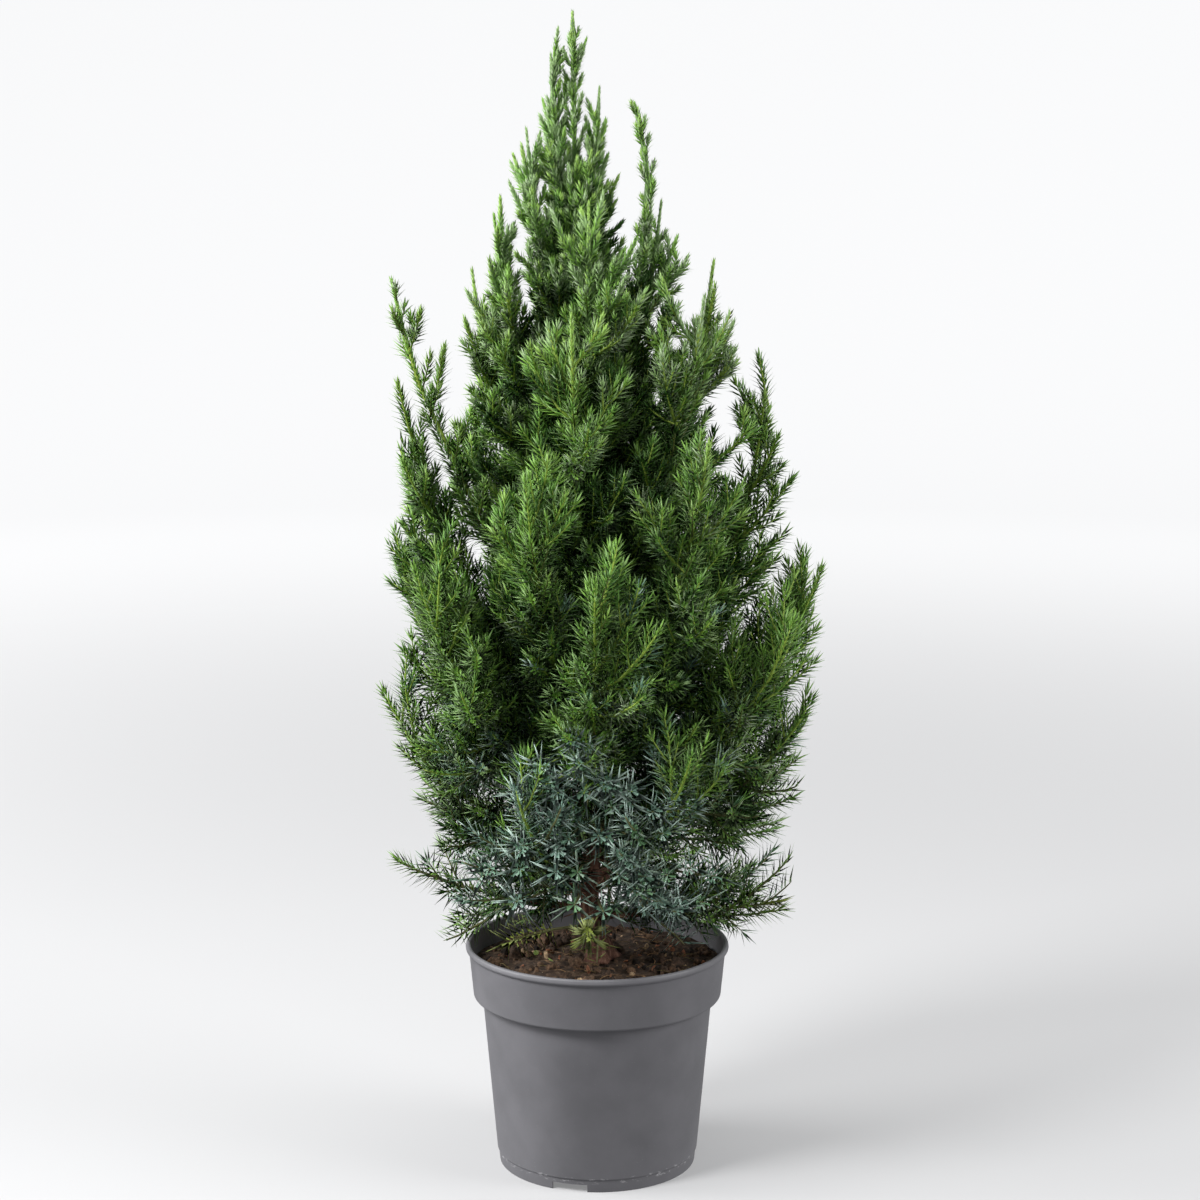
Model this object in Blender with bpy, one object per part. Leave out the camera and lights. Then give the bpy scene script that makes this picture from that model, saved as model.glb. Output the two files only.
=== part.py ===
"""Potted Chinese juniper: a young conical conifer in a round nursery pot.

Units are metres and +Z is up. The origin is the centre of the pot's underside, and -Y is the
plant's front. The pot stands on its skirt and on the hub under its base plate.
"""
import math
import random

import bmesh
import bpy
import numpy as np
from mathutils import Vector

# Gap between neighbouring solids
GAP = 0.0003

# Pot
POT_HEIGHT = 0.1460
RIM_RADIUS = 0.0850
LIP_HEIGHT = 0.0046
# Section of the lip from outside to inside: how far in from the rim and up from the lip's foot
LIP_SECTION = (
    (0.0008, 0.0004),
    (0.0000, 0.0018),
    (0.0004, 0.0039),
    (0.0012, 0.0046),
    (0.0026, 0.0046),
    (0.0034, 0.0036),
)
BAND_TOP_RADIUS = 0.0828
BAND_FOOT_RADIUS = 0.0800
BAND_FOOT_HEIGHT = 0.1112
BAND_EDGE_WIDTH = 0.0010
BAND_EDGE_HEIGHT = 0.0012
BODY_TOP_RADIUS = 0.0742
BODY_FOOT_RADIUS = 0.0651
SKIRT_HEIGHT = 0.0080
SKIRT_TOP_RADIUS = 0.0643
SKIRT_FOOT_RADIUS = 0.0635
SKIRT_STEP = 0.0008
WALL = 0.0016
BASE_UNDERSIDE = 0.0066
BASE_TOP = 0.0084
HUB_RADIUS = 0.0120
HUB_DRAFT = 0.0010
POT_SEGMENTS = 36
NOTCH_COUNT = 3
NOTCH_WIDTH = 0.0230
NOTCH_HEIGHT = 0.0050
NOTCH_FIRST_TURN = -106.0
NOTCH_INWARD = 0.0060
NOTCH_OUTWARD = 0.0040
DRAIN_COUNT = 6
DRAIN_RADIUS = 0.0055
DRAIN_CIRCLE = 0.0470
DRAIN_SIDES = 8
CUT_MARGIN = 0.0010

# Soil
SOIL_LEVEL = 0.1340
SOIL_EDGE_DROP = 0.0020
SOIL_SEAT_RADIUS = 0.0200
SOIL_RELIEF = 0.0012
SOIL_SEGMENTS = 26
SOIL_TOP_RINGS = 4

# Trunk: height, sideways place and radius of its axis
TRUNK_COURSE = (
    (0.1343, 0.0020, 0.0128),
    (0.1400, 0.0012, 0.0094),
    (0.1500, -0.0020, 0.0070),
    (0.1650, -0.0055, 0.0058),
    (0.2200, -0.0030, 0.0052),
    (0.3200, -0.0040, 0.0045),
    (0.4400, -0.0080, 0.0034),
    (0.5500, -0.0120, 0.0024),
    (0.6400, -0.0138, 0.0014),
)
TRUNK_SIDES = 10
FLARE_LOBES = 5
FLARE_DEPTH = 0.16
FLARE_HEIGHT = 0.020

# Crown outline: height, left reach and right reach, from the pot's axis
CROWN_OUTLINE = (
    (0.150, -0.095, 0.110),
    (0.165, -0.112, 0.124),
    (0.200, -0.129, 0.123),
    (0.250, -0.119, 0.131),
    (0.300, -0.134, 0.135),
    (0.350, -0.130, 0.146),
    (0.400, -0.132, 0.136),
    (0.450, -0.127, 0.126),
    (0.500, -0.116, 0.108),
    (0.550, -0.085, 0.087),
    (0.600, -0.067, 0.054),
    (0.650, -0.051, 0.014),
    (0.700, -0.031, -0.003),
    (0.735, -0.018, -0.012),
)
CROWN_DEPTH = 0.93
CROWN_TOLERANCE = 0.003
# Lowest height of foliage, and the raised arch over the front of the pot
CROWN_FLOOR = 0.152
FRONT_FLOOR = 0.188
FRONT_DEPTH = 0.060
FRONT_PLACE = -0.010
FRONT_HALF_WIDTH = 0.080

# Foliage tiers: name, masses, tip height, stagger, root height, first turn and bough share
TIERS = (
    ("crest", 2, 0.697, 0.010, 0.590, 178, 0.0),
    ("top", 3, 0.652, 0.010, 0.520, 205, 0.0),
    ("shoulder", 4, 0.606, 0.012, 0.440, 4, 0.0),
    ("upper", 6, 0.548, 0.014, 0.350, 324, 0.0),
    ("middle", 6, 0.474, 0.014, 0.275, 8, 0.0),
    ("waist", 7, 0.385, 0.016, 0.225, 270, 0.20),
    ("lower", 6, 0.290, 0.016, 0.190, 180, 0.20),
    ("skirt", 4, 0.195, 0.008, 0.163, 182, 0.24),
)
# Tips that mark the outline, by tier and place in the tier
NAMED_TIPS = {
    ("top", 1): (0.023, -0.006, 0.678),
    ("upper", 1): (0.073, 0.020, 0.581),
    ("upper", 3): (-0.079, 0.034, 0.574),
    ("upper", 4): (-0.127, -0.004, 0.570),
    ("waist", 2): (0.142, 0.008, 0.388),
    ("lower", 0): (-0.135, -0.006, 0.311),
    ("skirt", 0): (-0.129, -0.004, 0.202),
    ("skirt", 2): (0.124, -0.008, 0.176),
}
# Plumes that stand out of the outline by themselves
OUTLIERS = (("top", 1), ("upper", 4))
LEADER_TIP = (-0.0150, 0.0, 0.7350)
# Shares of a tier's stagger that its tips and its roots take in turn
TIP_STAGGER = (1.0, -1.0, 0.3)
ROOT_STAGGER = (0.6, -0.6, 0.0)
BLUE_GREEN_BELOW = 0.300
TURN_JITTER = 7.0
AXIS_SHOULDER = 0.74
AXIS_RISE = 0.30
AXIS_STEPS = 14
START_STEP = 0.0005
START_LIMIT = 0.5
NEAR_AXIS = 0.002
SEED = 12

# Boughs and the stems of the masses
BOUGH_ROOT_RADIUS = 0.0028
BOUGH_TIP_RADIUS = 0.0019
BOUGH_SIDES = 5
BOUGH_STEPS = 4
STEM_SIDES = 3
STEM_STEPS = 6
STEM_RADIUS = 0.0052
STEM_ROOT_RADIUS = 0.0016
STEM_LEAST_RADIUS = 0.0009
STEM_SWELL_START = 0.15
STEM_SWELL_POWER = 0.7
STEM_ROOM_SHARE = 0.6
STEM_TWIST = 0.6
NEEDLE_REACH = 0.0100
NEEDLE_LEAD = 0.0090
NEEDLE_TAPER = 0.7

# Side branches of a mass
BRANCH_PITCH = 0.0180
BRANCH_START = 0.08
BRANCH_END = 0.90
BRANCH_REACH = 0.0760
BRANCH_TAPER = 0.50
OUTLIER_REACH = 0.62
BRANCH_LEAN_LOW = 50.0
BRANCH_LEAN_HIGH = 28.0
BRANCH_ROOT_RADIUS = 0.0016
BRANCH_GIRTH = 0.15
BRANCH_MOST_GIRTH = 0.0068
BRANCH_END_GIRTH = 0.8
BRANCH_SIDES = 3
BRANCH_RINGS = (0.0, 0.34, 0.70)
BRANCH_LEAST_COUNT = 3
BRANCH_LEAN_JITTER = 5.0
BRANCH_REACH_JITTER = 0.15
BRANCH_NEEDLE_SHARE = 0.24
BRANCH_NEEDLE_LEAD = 0.9
BRANCH_TRIES = 7
BRANCH_APART = 0.0110
# Part of a side branch, from here to its tip, that keeps apart, and the points tested on it
APART_FROM = 0.45
APART_POINTS = 4
BRANCH_SHARES = (1.0, 0.84, 0.70, 0.58, 0.46, 0.36)
SPACE_MARGIN = 0.0006
GOLDEN_TURN = 137.508


def remove_all_objects():
    for item in list(bpy.data.objects):
        bpy.data.objects.remove(item, do_unlink=True)


def make_material(name, colour, roughness, metallic=0.0):
    material = bpy.data.materials.new(name)
    material.use_nodes = True
    shader = material.node_tree.nodes["Principled BSDF"]
    shader.inputs["Base Color"].default_value = (*colour, 1.0)
    shader.inputs["Roughness"].default_value = roughness
    shader.inputs["Metallic"].default_value = metallic
    return material


def add_object(name, mesh, material=None):
    item = bpy.data.objects.new(name, mesh)
    bpy.context.scene.collection.objects.link(item)
    if material is not None:
        mesh.materials.append(material)
    return item


def mesh_from(name, points, faces):
    mesh = bpy.data.meshes.new(name)
    mesh.from_pydata([tuple(map(float, point)) for point in points], [], faces)
    mesh.update()
    return mesh


def bake_modifiers(item):
    """Replace an object's mesh by the shape that its modifiers give."""
    depsgraph = bpy.context.evaluated_depsgraph_get()
    shape = bpy.data.meshes.new_from_object(item.evaluated_get(depsgraph), depsgraph=depsgraph)
    item.modifiers.clear()
    item.data = shape


def smooth(item, angle=35.0):
    item.data.shade_smooth()
    item.data.set_sharp_from_angle(angle=math.radians(angle))


def revolve(name, profile, segments):
    """Turn a profile of (radius, height) points, which starts and ends on the axis."""
    points = [(0.0, 0.0, profile[0][1])]
    rings = profile[1:-1]
    for radius, height in rings:
        for k in range(segments):
            turn = 2.0 * math.pi * k / segments
            points.append((radius * math.cos(turn), radius * math.sin(turn), height))
    points.append((0.0, 0.0, profile[-1][1]))
    faces = []
    for k in range(segments):
        after = (k + 1) % segments
        faces.append((0, 1 + after, 1 + k))
        for ring in range(len(rings) - 1):
            low = 1 + ring * segments
            high = low + segments
            faces.append((low + k, low + after, high + after, high + k))
        last = 1 + (len(rings) - 1) * segments
        faces.append((last + k, last + after, len(points) - 1))
    return mesh_from(name, points, faces)


# Pot


def pot_profile():
    """Return the pot's section from the middle of its underside, out, up and back inside."""
    lip_foot = POT_HEIGHT - LIP_HEIGHT
    return (
        (0.0, 0.0),
        (HUB_RADIUS, 0.0),
        (HUB_RADIUS + HUB_DRAFT, BASE_UNDERSIDE),
        (SKIRT_TOP_RADIUS - WALL, BASE_UNDERSIDE),
        (SKIRT_FOOT_RADIUS - WALL, 0.0),
        (SKIRT_FOOT_RADIUS, 0.0),
        (SKIRT_TOP_RADIUS, SKIRT_HEIGHT),
        (BODY_FOOT_RADIUS, SKIRT_HEIGHT + SKIRT_STEP),
        (BODY_TOP_RADIUS, BAND_FOOT_HEIGHT),
        (BAND_FOOT_RADIUS - BAND_EDGE_WIDTH, BAND_FOOT_HEIGHT),
        (BAND_FOOT_RADIUS, BAND_FOOT_HEIGHT + BAND_EDGE_HEIGHT),
        (BAND_TOP_RADIUS, lip_foot),
        *((RIM_RADIUS - inward, lip_foot + upward) for inward, upward in LIP_SECTION),
        (BAND_TOP_RADIUS - WALL, lip_foot),
        (BAND_FOOT_RADIUS - WALL, BAND_FOOT_HEIGHT + 2.0 * WALL),
        (BODY_TOP_RADIUS - WALL, BAND_FOOT_HEIGHT),
        (BODY_FOOT_RADIUS - WALL, BASE_TOP + WALL),
        (BODY_FOOT_RADIUS - 2.0 * WALL, BASE_TOP),
        (0.0, BASE_TOP),
    )


def add_cutter(name, points, faces):
    cutter = add_object(name, mesh_from(name, points, faces))
    cutter.hide_render = True
    cutter.display_type = "WIRE"
    return cutter


def prism(outline, low, high):
    """Return the points and faces of an upright prism over an outline that runs anticlockwise."""
    count = len(outline)
    points = [(x, y, low) for x, y in outline] + [(x, y, high) for x, y in outline]
    faces = [tuple(reversed(range(count))), tuple(range(count, 2 * count))]
    for k in range(count):
        after = (k + 1) % count
        faces.append((k, after, count + after, count + k))
    return points, faces


def notch_outline(turn):
    """Return a rectangle across the skirt at a turn."""
    along = Vector((math.cos(turn), math.sin(turn)))
    across = Vector((-along.y, along.x))
    near = SKIRT_FOOT_RADIUS - NOTCH_INWARD
    far = SKIRT_FOOT_RADIUS + NOTCH_OUTWARD
    half = NOTCH_WIDTH / 2.0
    corners = ((near, -half), (far, -half), (far, half), (near, half))
    return [tuple(along * out + across * side) for out, side in corners]


def drain_outline(turn):
    centre = Vector((math.cos(turn), math.sin(turn))) * DRAIN_CIRCLE
    return [
        (
            centre.x + DRAIN_RADIUS * math.cos(2.0 * math.pi * k / DRAIN_SIDES),
            centre.y + DRAIN_RADIUS * math.sin(2.0 * math.pi * k / DRAIN_SIDES),
        )
        for k in range(DRAIN_SIDES)
    ]


def cut(item, cutter):
    boolean = item.modifiers.new("cut", "BOOLEAN")
    boolean.operation = "DIFFERENCE"
    boolean.solver = "MANIFOLD"
    boolean.object = cutter
    bake_modifiers(item)
    bpy.data.objects.remove(cutter, do_unlink=True)


def make_pot(material):
    pot = add_object("pot", revolve("pot", pot_profile(), POT_SEGMENTS))
    floor, ceiling = BASE_UNDERSIDE - CUT_MARGIN, BASE_TOP + CUT_MARGIN
    for k in range(NOTCH_COUNT):
        turn = math.radians(NOTCH_FIRST_TURN + 360.0 * k / NOTCH_COUNT)
        cut(pot, add_cutter("notch", *prism(notch_outline(turn), -CUT_MARGIN, NOTCH_HEIGHT)))
    for k in range(DRAIN_COUNT):
        turn = 2.0 * math.pi * (k + 0.5) / DRAIN_COUNT
        cut(pot, add_cutter("drain", *prism(drain_outline(turn), floor, ceiling)))
    pot.data.materials.clear()
    pot.data.materials.append(material)
    smooth(pot)
    return pot


# Soil


def wall_radius(height):
    """Return the radius of the pot's inner face at a height."""
    inside = (
        (BASE_TOP, BODY_FOOT_RADIUS - 2.0 * WALL),
        (BASE_TOP + WALL, BODY_FOOT_RADIUS - WALL),
        (BAND_FOOT_HEIGHT, BODY_TOP_RADIUS - WALL),
        (BAND_FOOT_HEIGHT + 2.0 * WALL, BAND_FOOT_RADIUS - WALL),
        (POT_HEIGHT - LIP_HEIGHT, BAND_TOP_RADIUS - WALL),
    )
    heights, radii = zip(*inside)
    return float(np.interp(height, heights, radii))


def make_soil(material):
    """Fill the pot, with an uneven top round the flat seat of the trunk."""
    rng = random.Random(SEED)
    side_gap = 2.0 * GAP
    foot = BASE_TOP + GAP
    step = BAND_FOOT_HEIGHT + 2.0 * WALL
    edge_height = SOIL_LEVEL - SOIL_EDGE_DROP
    edge_radius = wall_radius(edge_height) - side_gap
    sides = [
        (wall_radius(BASE_TOP) - side_gap, foot),
        (wall_radius(BASE_TOP + WALL) - side_gap, foot + WALL),
        (wall_radius(BAND_FOOT_HEIGHT) - side_gap, BAND_FOOT_HEIGHT + GAP),
        (wall_radius(step) - side_gap, step + GAP),
        (edge_radius, edge_height - SOIL_RELIEF),
    ]
    profile = [(0.0, foot)] + sides
    for k in range(SOIL_TOP_RINGS):
        share = (k + 1) / (SOIL_TOP_RINGS + 1)
        radius = edge_radius + (SOIL_SEAT_RADIUS - edge_radius) * share
        profile.append((radius, edge_height + SOIL_EDGE_DROP * share))
    profile.append((SOIL_SEAT_RADIUS, SOIL_LEVEL))
    profile.append((0.0, SOIL_LEVEL))
    mesh = revolve("soil", profile, SOIL_SEGMENTS)
    first = 1 + len(sides) * SOIL_SEGMENTS
    for index in range(first, first + SOIL_TOP_RINGS * SOIL_SEGMENTS):
        mesh.vertices[index].co.z += rng.uniform(-SOIL_RELIEF, SOIL_RELIEF)
    return add_object("soil", mesh, material)


# Limbs


def tube(sections, tip=None, spikes=None):
    """Return the points and faces of a closed tube through rings of points.

    A tip is a last point that closes the far end. Spikes maps (ring, side) to the point of a
    needle that stands on that face of the tube.
    """
    spikes = spikes or {}
    sides = len(sections[0])
    points = [point for ring in sections for point in ring]
    faces = [tuple(reversed(range(sides)))]

    def add_face(corners, key):
        if key not in spikes:
            faces.append(corners)
            return
        points.append(spikes[key])
        top = len(points) - 1
        for k, corner in enumerate(corners):
            faces.append((corner, corners[(k + 1) % len(corners)], top))

    for ring in range(len(sections) - 1):
        low = ring * sides
        high = low + sides
        for k in range(sides):
            after = (k + 1) % sides
            add_face((low + k, low + after, high + after, high + k), (ring, k))
    last = (len(sections) - 1) * sides
    if tip is None:
        faces.append(tuple(range(last, last + sides)))
        return points, faces
    points.append(tip)
    top = len(points) - 1
    for k in range(sides):
        after = (k + 1) % sides
        add_face((last + k, last + after, top), (len(sections) - 1, k))
    return points, faces


def unit(vector):
    return vector / max(np.linalg.norm(vector), 1e-12)


def side_vectors(along):
    """Return two unit vectors square to a direction."""
    guide = np.array((0.0, 1.0, 0.0)) if abs(along[1]) < 0.9 else np.array((1.0, 0.0, 0.0))
    first = unit(np.cross(guide, along))
    return first, np.cross(along, first)


def outward_vectors(point, along):
    """Return two unit vectors square to a direction: away from the trunk, and round it."""
    out = point - trunk_place(point[2])
    out = out - along * float(np.dot(out, along))
    if np.linalg.norm(out) < NEAR_AXIS:
        return side_vectors(along)
    out = unit(out)
    return out, np.cross(along, out)


def ring_points(centre, along, radius, sides, phase=0.0):
    first, second = side_vectors(along)
    turns = phase + 2.0 * math.pi * np.arange(sides) / sides
    return [centre + radius * (math.cos(turn) * first + math.sin(turn) * second) for turn in turns]


def trunk_place(height):
    heights, across, _ = zip(*TRUNK_COURSE)
    return np.array((float(np.interp(height, heights, across)), 0.0, height))


def trunk_radius(height):
    heights, _, radii = zip(*TRUNK_COURSE)
    return float(np.interp(height, heights, radii))


def make_trunk(material):
    """One tapering trunk from its flat cut on the soil to its tip inside the leader."""
    rings = []
    for height, across, radius in TRUNK_COURSE:
        flare = FLARE_DEPTH * max(0.0, 1.0 - (height - TRUNK_COURSE[0][0]) / FLARE_HEIGHT)
        ring = []
        for k in range(TRUNK_SIDES):
            turn = 2.0 * math.pi * k / TRUNK_SIDES
            spread = radius * (1.0 + flare * math.cos(FLARE_LOBES * turn))
            ring.append((across + spread * math.cos(turn), spread * math.sin(turn), height))
        rings.append(ring)
    trunk = add_object("trunk", mesh_from("trunk", *tube(rings)), material)
    smooth(trunk)
    return trunk


# Crown layout


def crown_edge(height):
    heights, left, right = (np.array(column) for column in zip(*CROWN_OUTLINE))
    return np.interp(height, heights, left), np.interp(height, heights, right)


def crown_excess(points):
    """Return how far each point stands out of the crown's outline."""
    left, right = crown_edge(points[:, 2])
    middle = (left + right) / 2.0
    half = (right - left) / 2.0
    spread = np.hypot(points[:, 0] - middle, points[:, 1] / CROWN_DEPTH)
    return np.maximum(spread - half, points[:, 2] - CROWN_OUTLINE[-1][0])


def crown_floor(points):
    """Return the lowest height of foliage at each point: it is higher over the front."""
    front = np.clip(-points[:, 1] / FRONT_DEPTH, 0.0, 1.0)
    aside = np.clip(np.abs(points[:, 0] - FRONT_PLACE) / FRONT_HALF_WIDTH, 0.0, 1.0)
    return CROWN_FLOOR + (FRONT_FLOOR - CROWN_FLOOR) * front * (1.0 - aside)


def tip_on_outline(height, turn):
    left, right = crown_edge(height)
    middle = (left + right) / 2.0
    half = (right - left) / 2.0
    return np.array((middle + half * math.cos(turn), CROWN_DEPTH * half * math.sin(turn), height))


def bend(root, tip, steps):
    """Return points on the plume's axis: it leaves the trunk outwards and turns up."""
    across = tip - root
    rise = across[2]
    across = np.array((across[0], across[1], 0.0))
    elbow = root + AXIS_SHOULDER * across + np.array((0.0, 0.0, AXIS_RISE * rise))
    share = np.linspace(0.0, 1.0, steps + 1)[:, None]
    return (1.0 - share) ** 2 * root + 2.0 * share * (1.0 - share) * elbow + share**2 * tip


def plan_plumes():
    """Return every plume: its name, its axis and how much of it is bough."""
    rng = random.Random(SEED)
    top = trunk_place(TRUNK_COURSE[-1][0])
    leader = np.linspace(top, np.array(LEADER_TIP), AXIS_STEPS + 1)
    plumes = [{"name": "leader", "axis": leader, "bough": 0.0, "free": True}]
    for tier, count, tip_height, stagger, root_height, first_turn, bough in TIERS:
        for k in range(count):
            turn = math.radians(first_turn + 360.0 * k / count + rng.uniform(-TURN_JITTER, TURN_JITTER))
            height = tip_height + stagger * TIP_STAGGER[k % 3]
            root = trunk_place(root_height + stagger * ROOT_STAGGER[k % 3])
            tip = np.array(NAMED_TIPS.get((tier, k), tip_on_outline(height, turn)))
            plumes.append(
                {
                    "name": f"{tier}_{k + 1}",
                    "axis": bend(root, tip, AXIS_STEPS),
                    "bough": bough,
                    "free": (tier, k) in OUTLIERS,
                }
            )
    return plumes


def lengths_along(axis):
    steps = np.linalg.norm(np.diff(axis, axis=0), axis=1)
    return np.concatenate(((0.0,), np.cumsum(steps)))


def place_on(axis, share):
    """Return the point and the direction at a share of an axis's length."""
    runs = lengths_along(axis)
    run = share * runs[-1]
    point = np.array([np.interp(run, runs, axis[:, k]) for k in range(3)])
    index = int(np.clip(np.searchsorted(runs, run) - 1, 0, len(axis) - 2))
    before = unit(axis[index + 1] - axis[index])
    other = min(index + 1, len(axis) - 2)
    after = unit(axis[other + 1] - axis[other])
    part = (run - runs[index]) / max(runs[index + 1] - runs[index], 1e-12)
    return point, unit(before + (after - before) * part)


def distances(points, starts, ends):
    """Return the distance from each point to each row of axis pieces."""
    along = ends - starts
    offset = points[:, None, None, :] - starts[None]
    share = np.clip((offset * along).sum(-1) / (along * along).sum(-1), 0.0, 1.0)
    return np.linalg.norm(offset - share[..., None] * along, axis=-1).min(-1)


class Spaces:
    """The crown's space, shared out to the plume whose axis lies nearest."""

    def __init__(self, plumes):
        axes = np.array([plume["axis"] for plume in plumes])
        self.starts = axes[:, :-1]
        self.ends = axes[:, 1:]
        heights = [row[0] for row in TRUNK_COURSE]
        course = np.array([trunk_place(height) for height in heights])
        self.trunk_starts = course[None, :-1]
        self.trunk_ends = course[None, 1:]

    def room(self, points, own):
        """Return how far each point lies inside the space of one plume."""
        reach = distances(points, self.starts, self.ends)
        mine = reach[:, own].copy()
        reach[:, own] = np.inf
        return (reach.min(-1) - mine) / 2.0

    def trunk_room(self, points):
        """Return how far each point lies off the trunk's surface."""
        radii = np.array([trunk_radius(height) for height in points[:, 2]])
        return distances(points, self.trunk_starts, self.trunk_ends)[:, 0] - radii


def clear_start(axis, radius, sides, spaces):
    """Return the share of an axis where a limb's end is one gap clear of the trunk."""
    for share in np.arange(0.0, START_LIMIT, START_STEP):
        point, along = place_on(axis, share)
        ring = np.array(ring_points(point, along, radius, sides))
        middles = (ring + np.roll(ring, 1, axis=0)) / 2.0
        if spaces.trunk_room(np.concatenate((ring, middles))).min() >= GAP:
            return float(share)
    return START_LIMIT


def make_bough(plume, spaces, material):
    """One tapering limb from the trunk to where it enters its mass."""
    axis = plume["axis"]
    start = clear_start(axis, BOUGH_ROOT_RADIUS, BOUGH_SIDES, spaces)
    rings = []
    for k in range(BOUGH_STEPS + 1):
        part = k / BOUGH_STEPS
        point, along = place_on(axis, start + (plume["bough"] - start) * part)
        radius = BOUGH_ROOT_RADIUS + (BOUGH_TIP_RADIUS - BOUGH_ROOT_RADIUS) * part
        rings.append(ring_points(point, along, radius, BOUGH_SIDES))
    name = "bough_" + plume["name"]
    bough = add_object(name, mesh_from(name, *tube(rings)), material)
    smooth(bough, 60.0)
    return bough


# Foliage


def needle_point(corners, centre, along, reach, lead):
    """Return the tip of a needle that stands on the face with these corners."""
    middle = sum(corners) / len(corners)
    outward = middle - centre
    outward = unit(outward - along * float(np.dot(outward, along)))
    return middle + outward * reach + along * lead


def stem_radius(share, room):
    """Return the stem core's radius: slim at its root, fuller in its middle, slim at its tip."""
    part = STEM_SWELL_START + (1.0 - STEM_SWELL_START) * share
    swell = math.sin(math.pi * min(1.0, part)) ** STEM_SWELL_POWER
    return max(STEM_LEAST_RADIUS, min(STEM_ROOT_RADIUS + STEM_RADIUS * swell, room - SPACE_MARGIN))


def stem_shape(plume, own, start, spaces):
    """Return the mass's stem: a slim core along its axis, with needles that stand out of it."""
    axis = plume["axis"]
    rings = []
    centres = []
    directions = []
    for k in range(STEM_STEPS):
        part = k / STEM_STEPS
        point, along = place_on(axis, start + (1.0 - start) * part)
        if k == 0:
            radius = STEM_ROOT_RADIUS
        else:
            radius = stem_radius(part, spaces.room(point[None], own)[0] * STEM_ROOM_SHARE)
        rings.append(ring_points(point, along, radius, STEM_SIDES, STEM_TWIST * k))
        centres.append(point)
        directions.append(along)
    spikes = {}
    tip = axis[-1]
    for ring in range(STEM_STEPS // 2, STEM_STEPS):
        far = ring + 1 < STEM_STEPS
        for k in range(STEM_SIDES):
            after = (k + 1) % STEM_SIDES
            corners = [rings[ring][k], rings[ring][after]]
            corners += [rings[ring + 1][after], rings[ring + 1][k]] if far else [tip]
            end = centres[ring + 1] if far else tip
            centre = (centres[ring] + end) / 2.0
            taper = 1.0 - NEEDLE_TAPER * ring / STEM_STEPS
            reach = NEEDLE_REACH * taper
            point = needle_point(corners, centre, directions[ring], reach, NEEDLE_LEAD * taper)
            if fits(np.array([point]), plume, own, spaces):
                spikes[ring, k] = point
    return tube(rings, tip, spikes)


def fits(points, plume, own, spaces):
    """Tell whether points keep to the mass's space, the crown and clear of the limbs."""
    if spaces.room(points, own).min() < SPACE_MARGIN:
        return False
    if spaces.trunk_room(points).min() < SPACE_MARGIN:
        return False
    if (points[:, 2] < crown_floor(points)).any() or points[:, 2].max() > LEADER_TIP[2]:
        return False
    return plume["free"] or crown_excess(points).max() < CROWN_TOLERANCE


def branch_shape(root, along, length, phase):
    """Return a side branch: a three-sided twig, dense with needles, and a whorl that stands out."""
    girth = min(BRANCH_GIRTH * length, BRANCH_MOST_GIRTH)
    radii = (BRANCH_ROOT_RADIUS, girth, BRANCH_END_GIRTH * girth)
    centres = [root + along * length * share for share in BRANCH_RINGS]
    rings = [ring_points(c, along, r, BRANCH_SIDES, phase) for c, r in zip(centres, radii)]
    reach = min(NEEDLE_REACH, BRANCH_NEEDLE_SHARE * length)
    middle = (centres[1] + centres[2]) / 2.0
    spikes = {}
    for k in range(BRANCH_SIDES):
        after = (k + 1) % BRANCH_SIDES
        corners = [rings[1][k], rings[1][after], rings[2][after], rings[2][k]]
        spikes[1, k] = needle_point(corners, middle, along, reach, BRANCH_NEEDLE_LEAD * reach)
    return tube(rings, root + along * length, spikes)


def keeps_apart(root, tip, grown):
    """Tell whether a side branch keeps clear of those that its mass has already."""
    if not grown:
        return True
    starts, ends = (np.array(column) for column in zip(*grown))
    points = root + np.linspace(APART_FROM, 1.0, APART_POINTS)[:, None] * (tip - root)
    return distances(points, starts[:, None], ends[:, None]).min() > BRANCH_APART


def longest_branch(root, direction, reach, turn, grown, plume, own, spaces):
    """Return the share of its full reach that a side branch has room for, and its shape."""
    for share in BRANCH_SHARES:
        tip = root + direction * reach * share
        if not keeps_apart(root, tip, grown):
            continue
        points, faces = branch_shape(root, direction, reach * share, turn)
        if fits(np.array(points[BRANCH_SIDES:]), plume, own, spaces):
            return share, (points, faces), (root, tip)
    return 0.0, None, None


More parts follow.
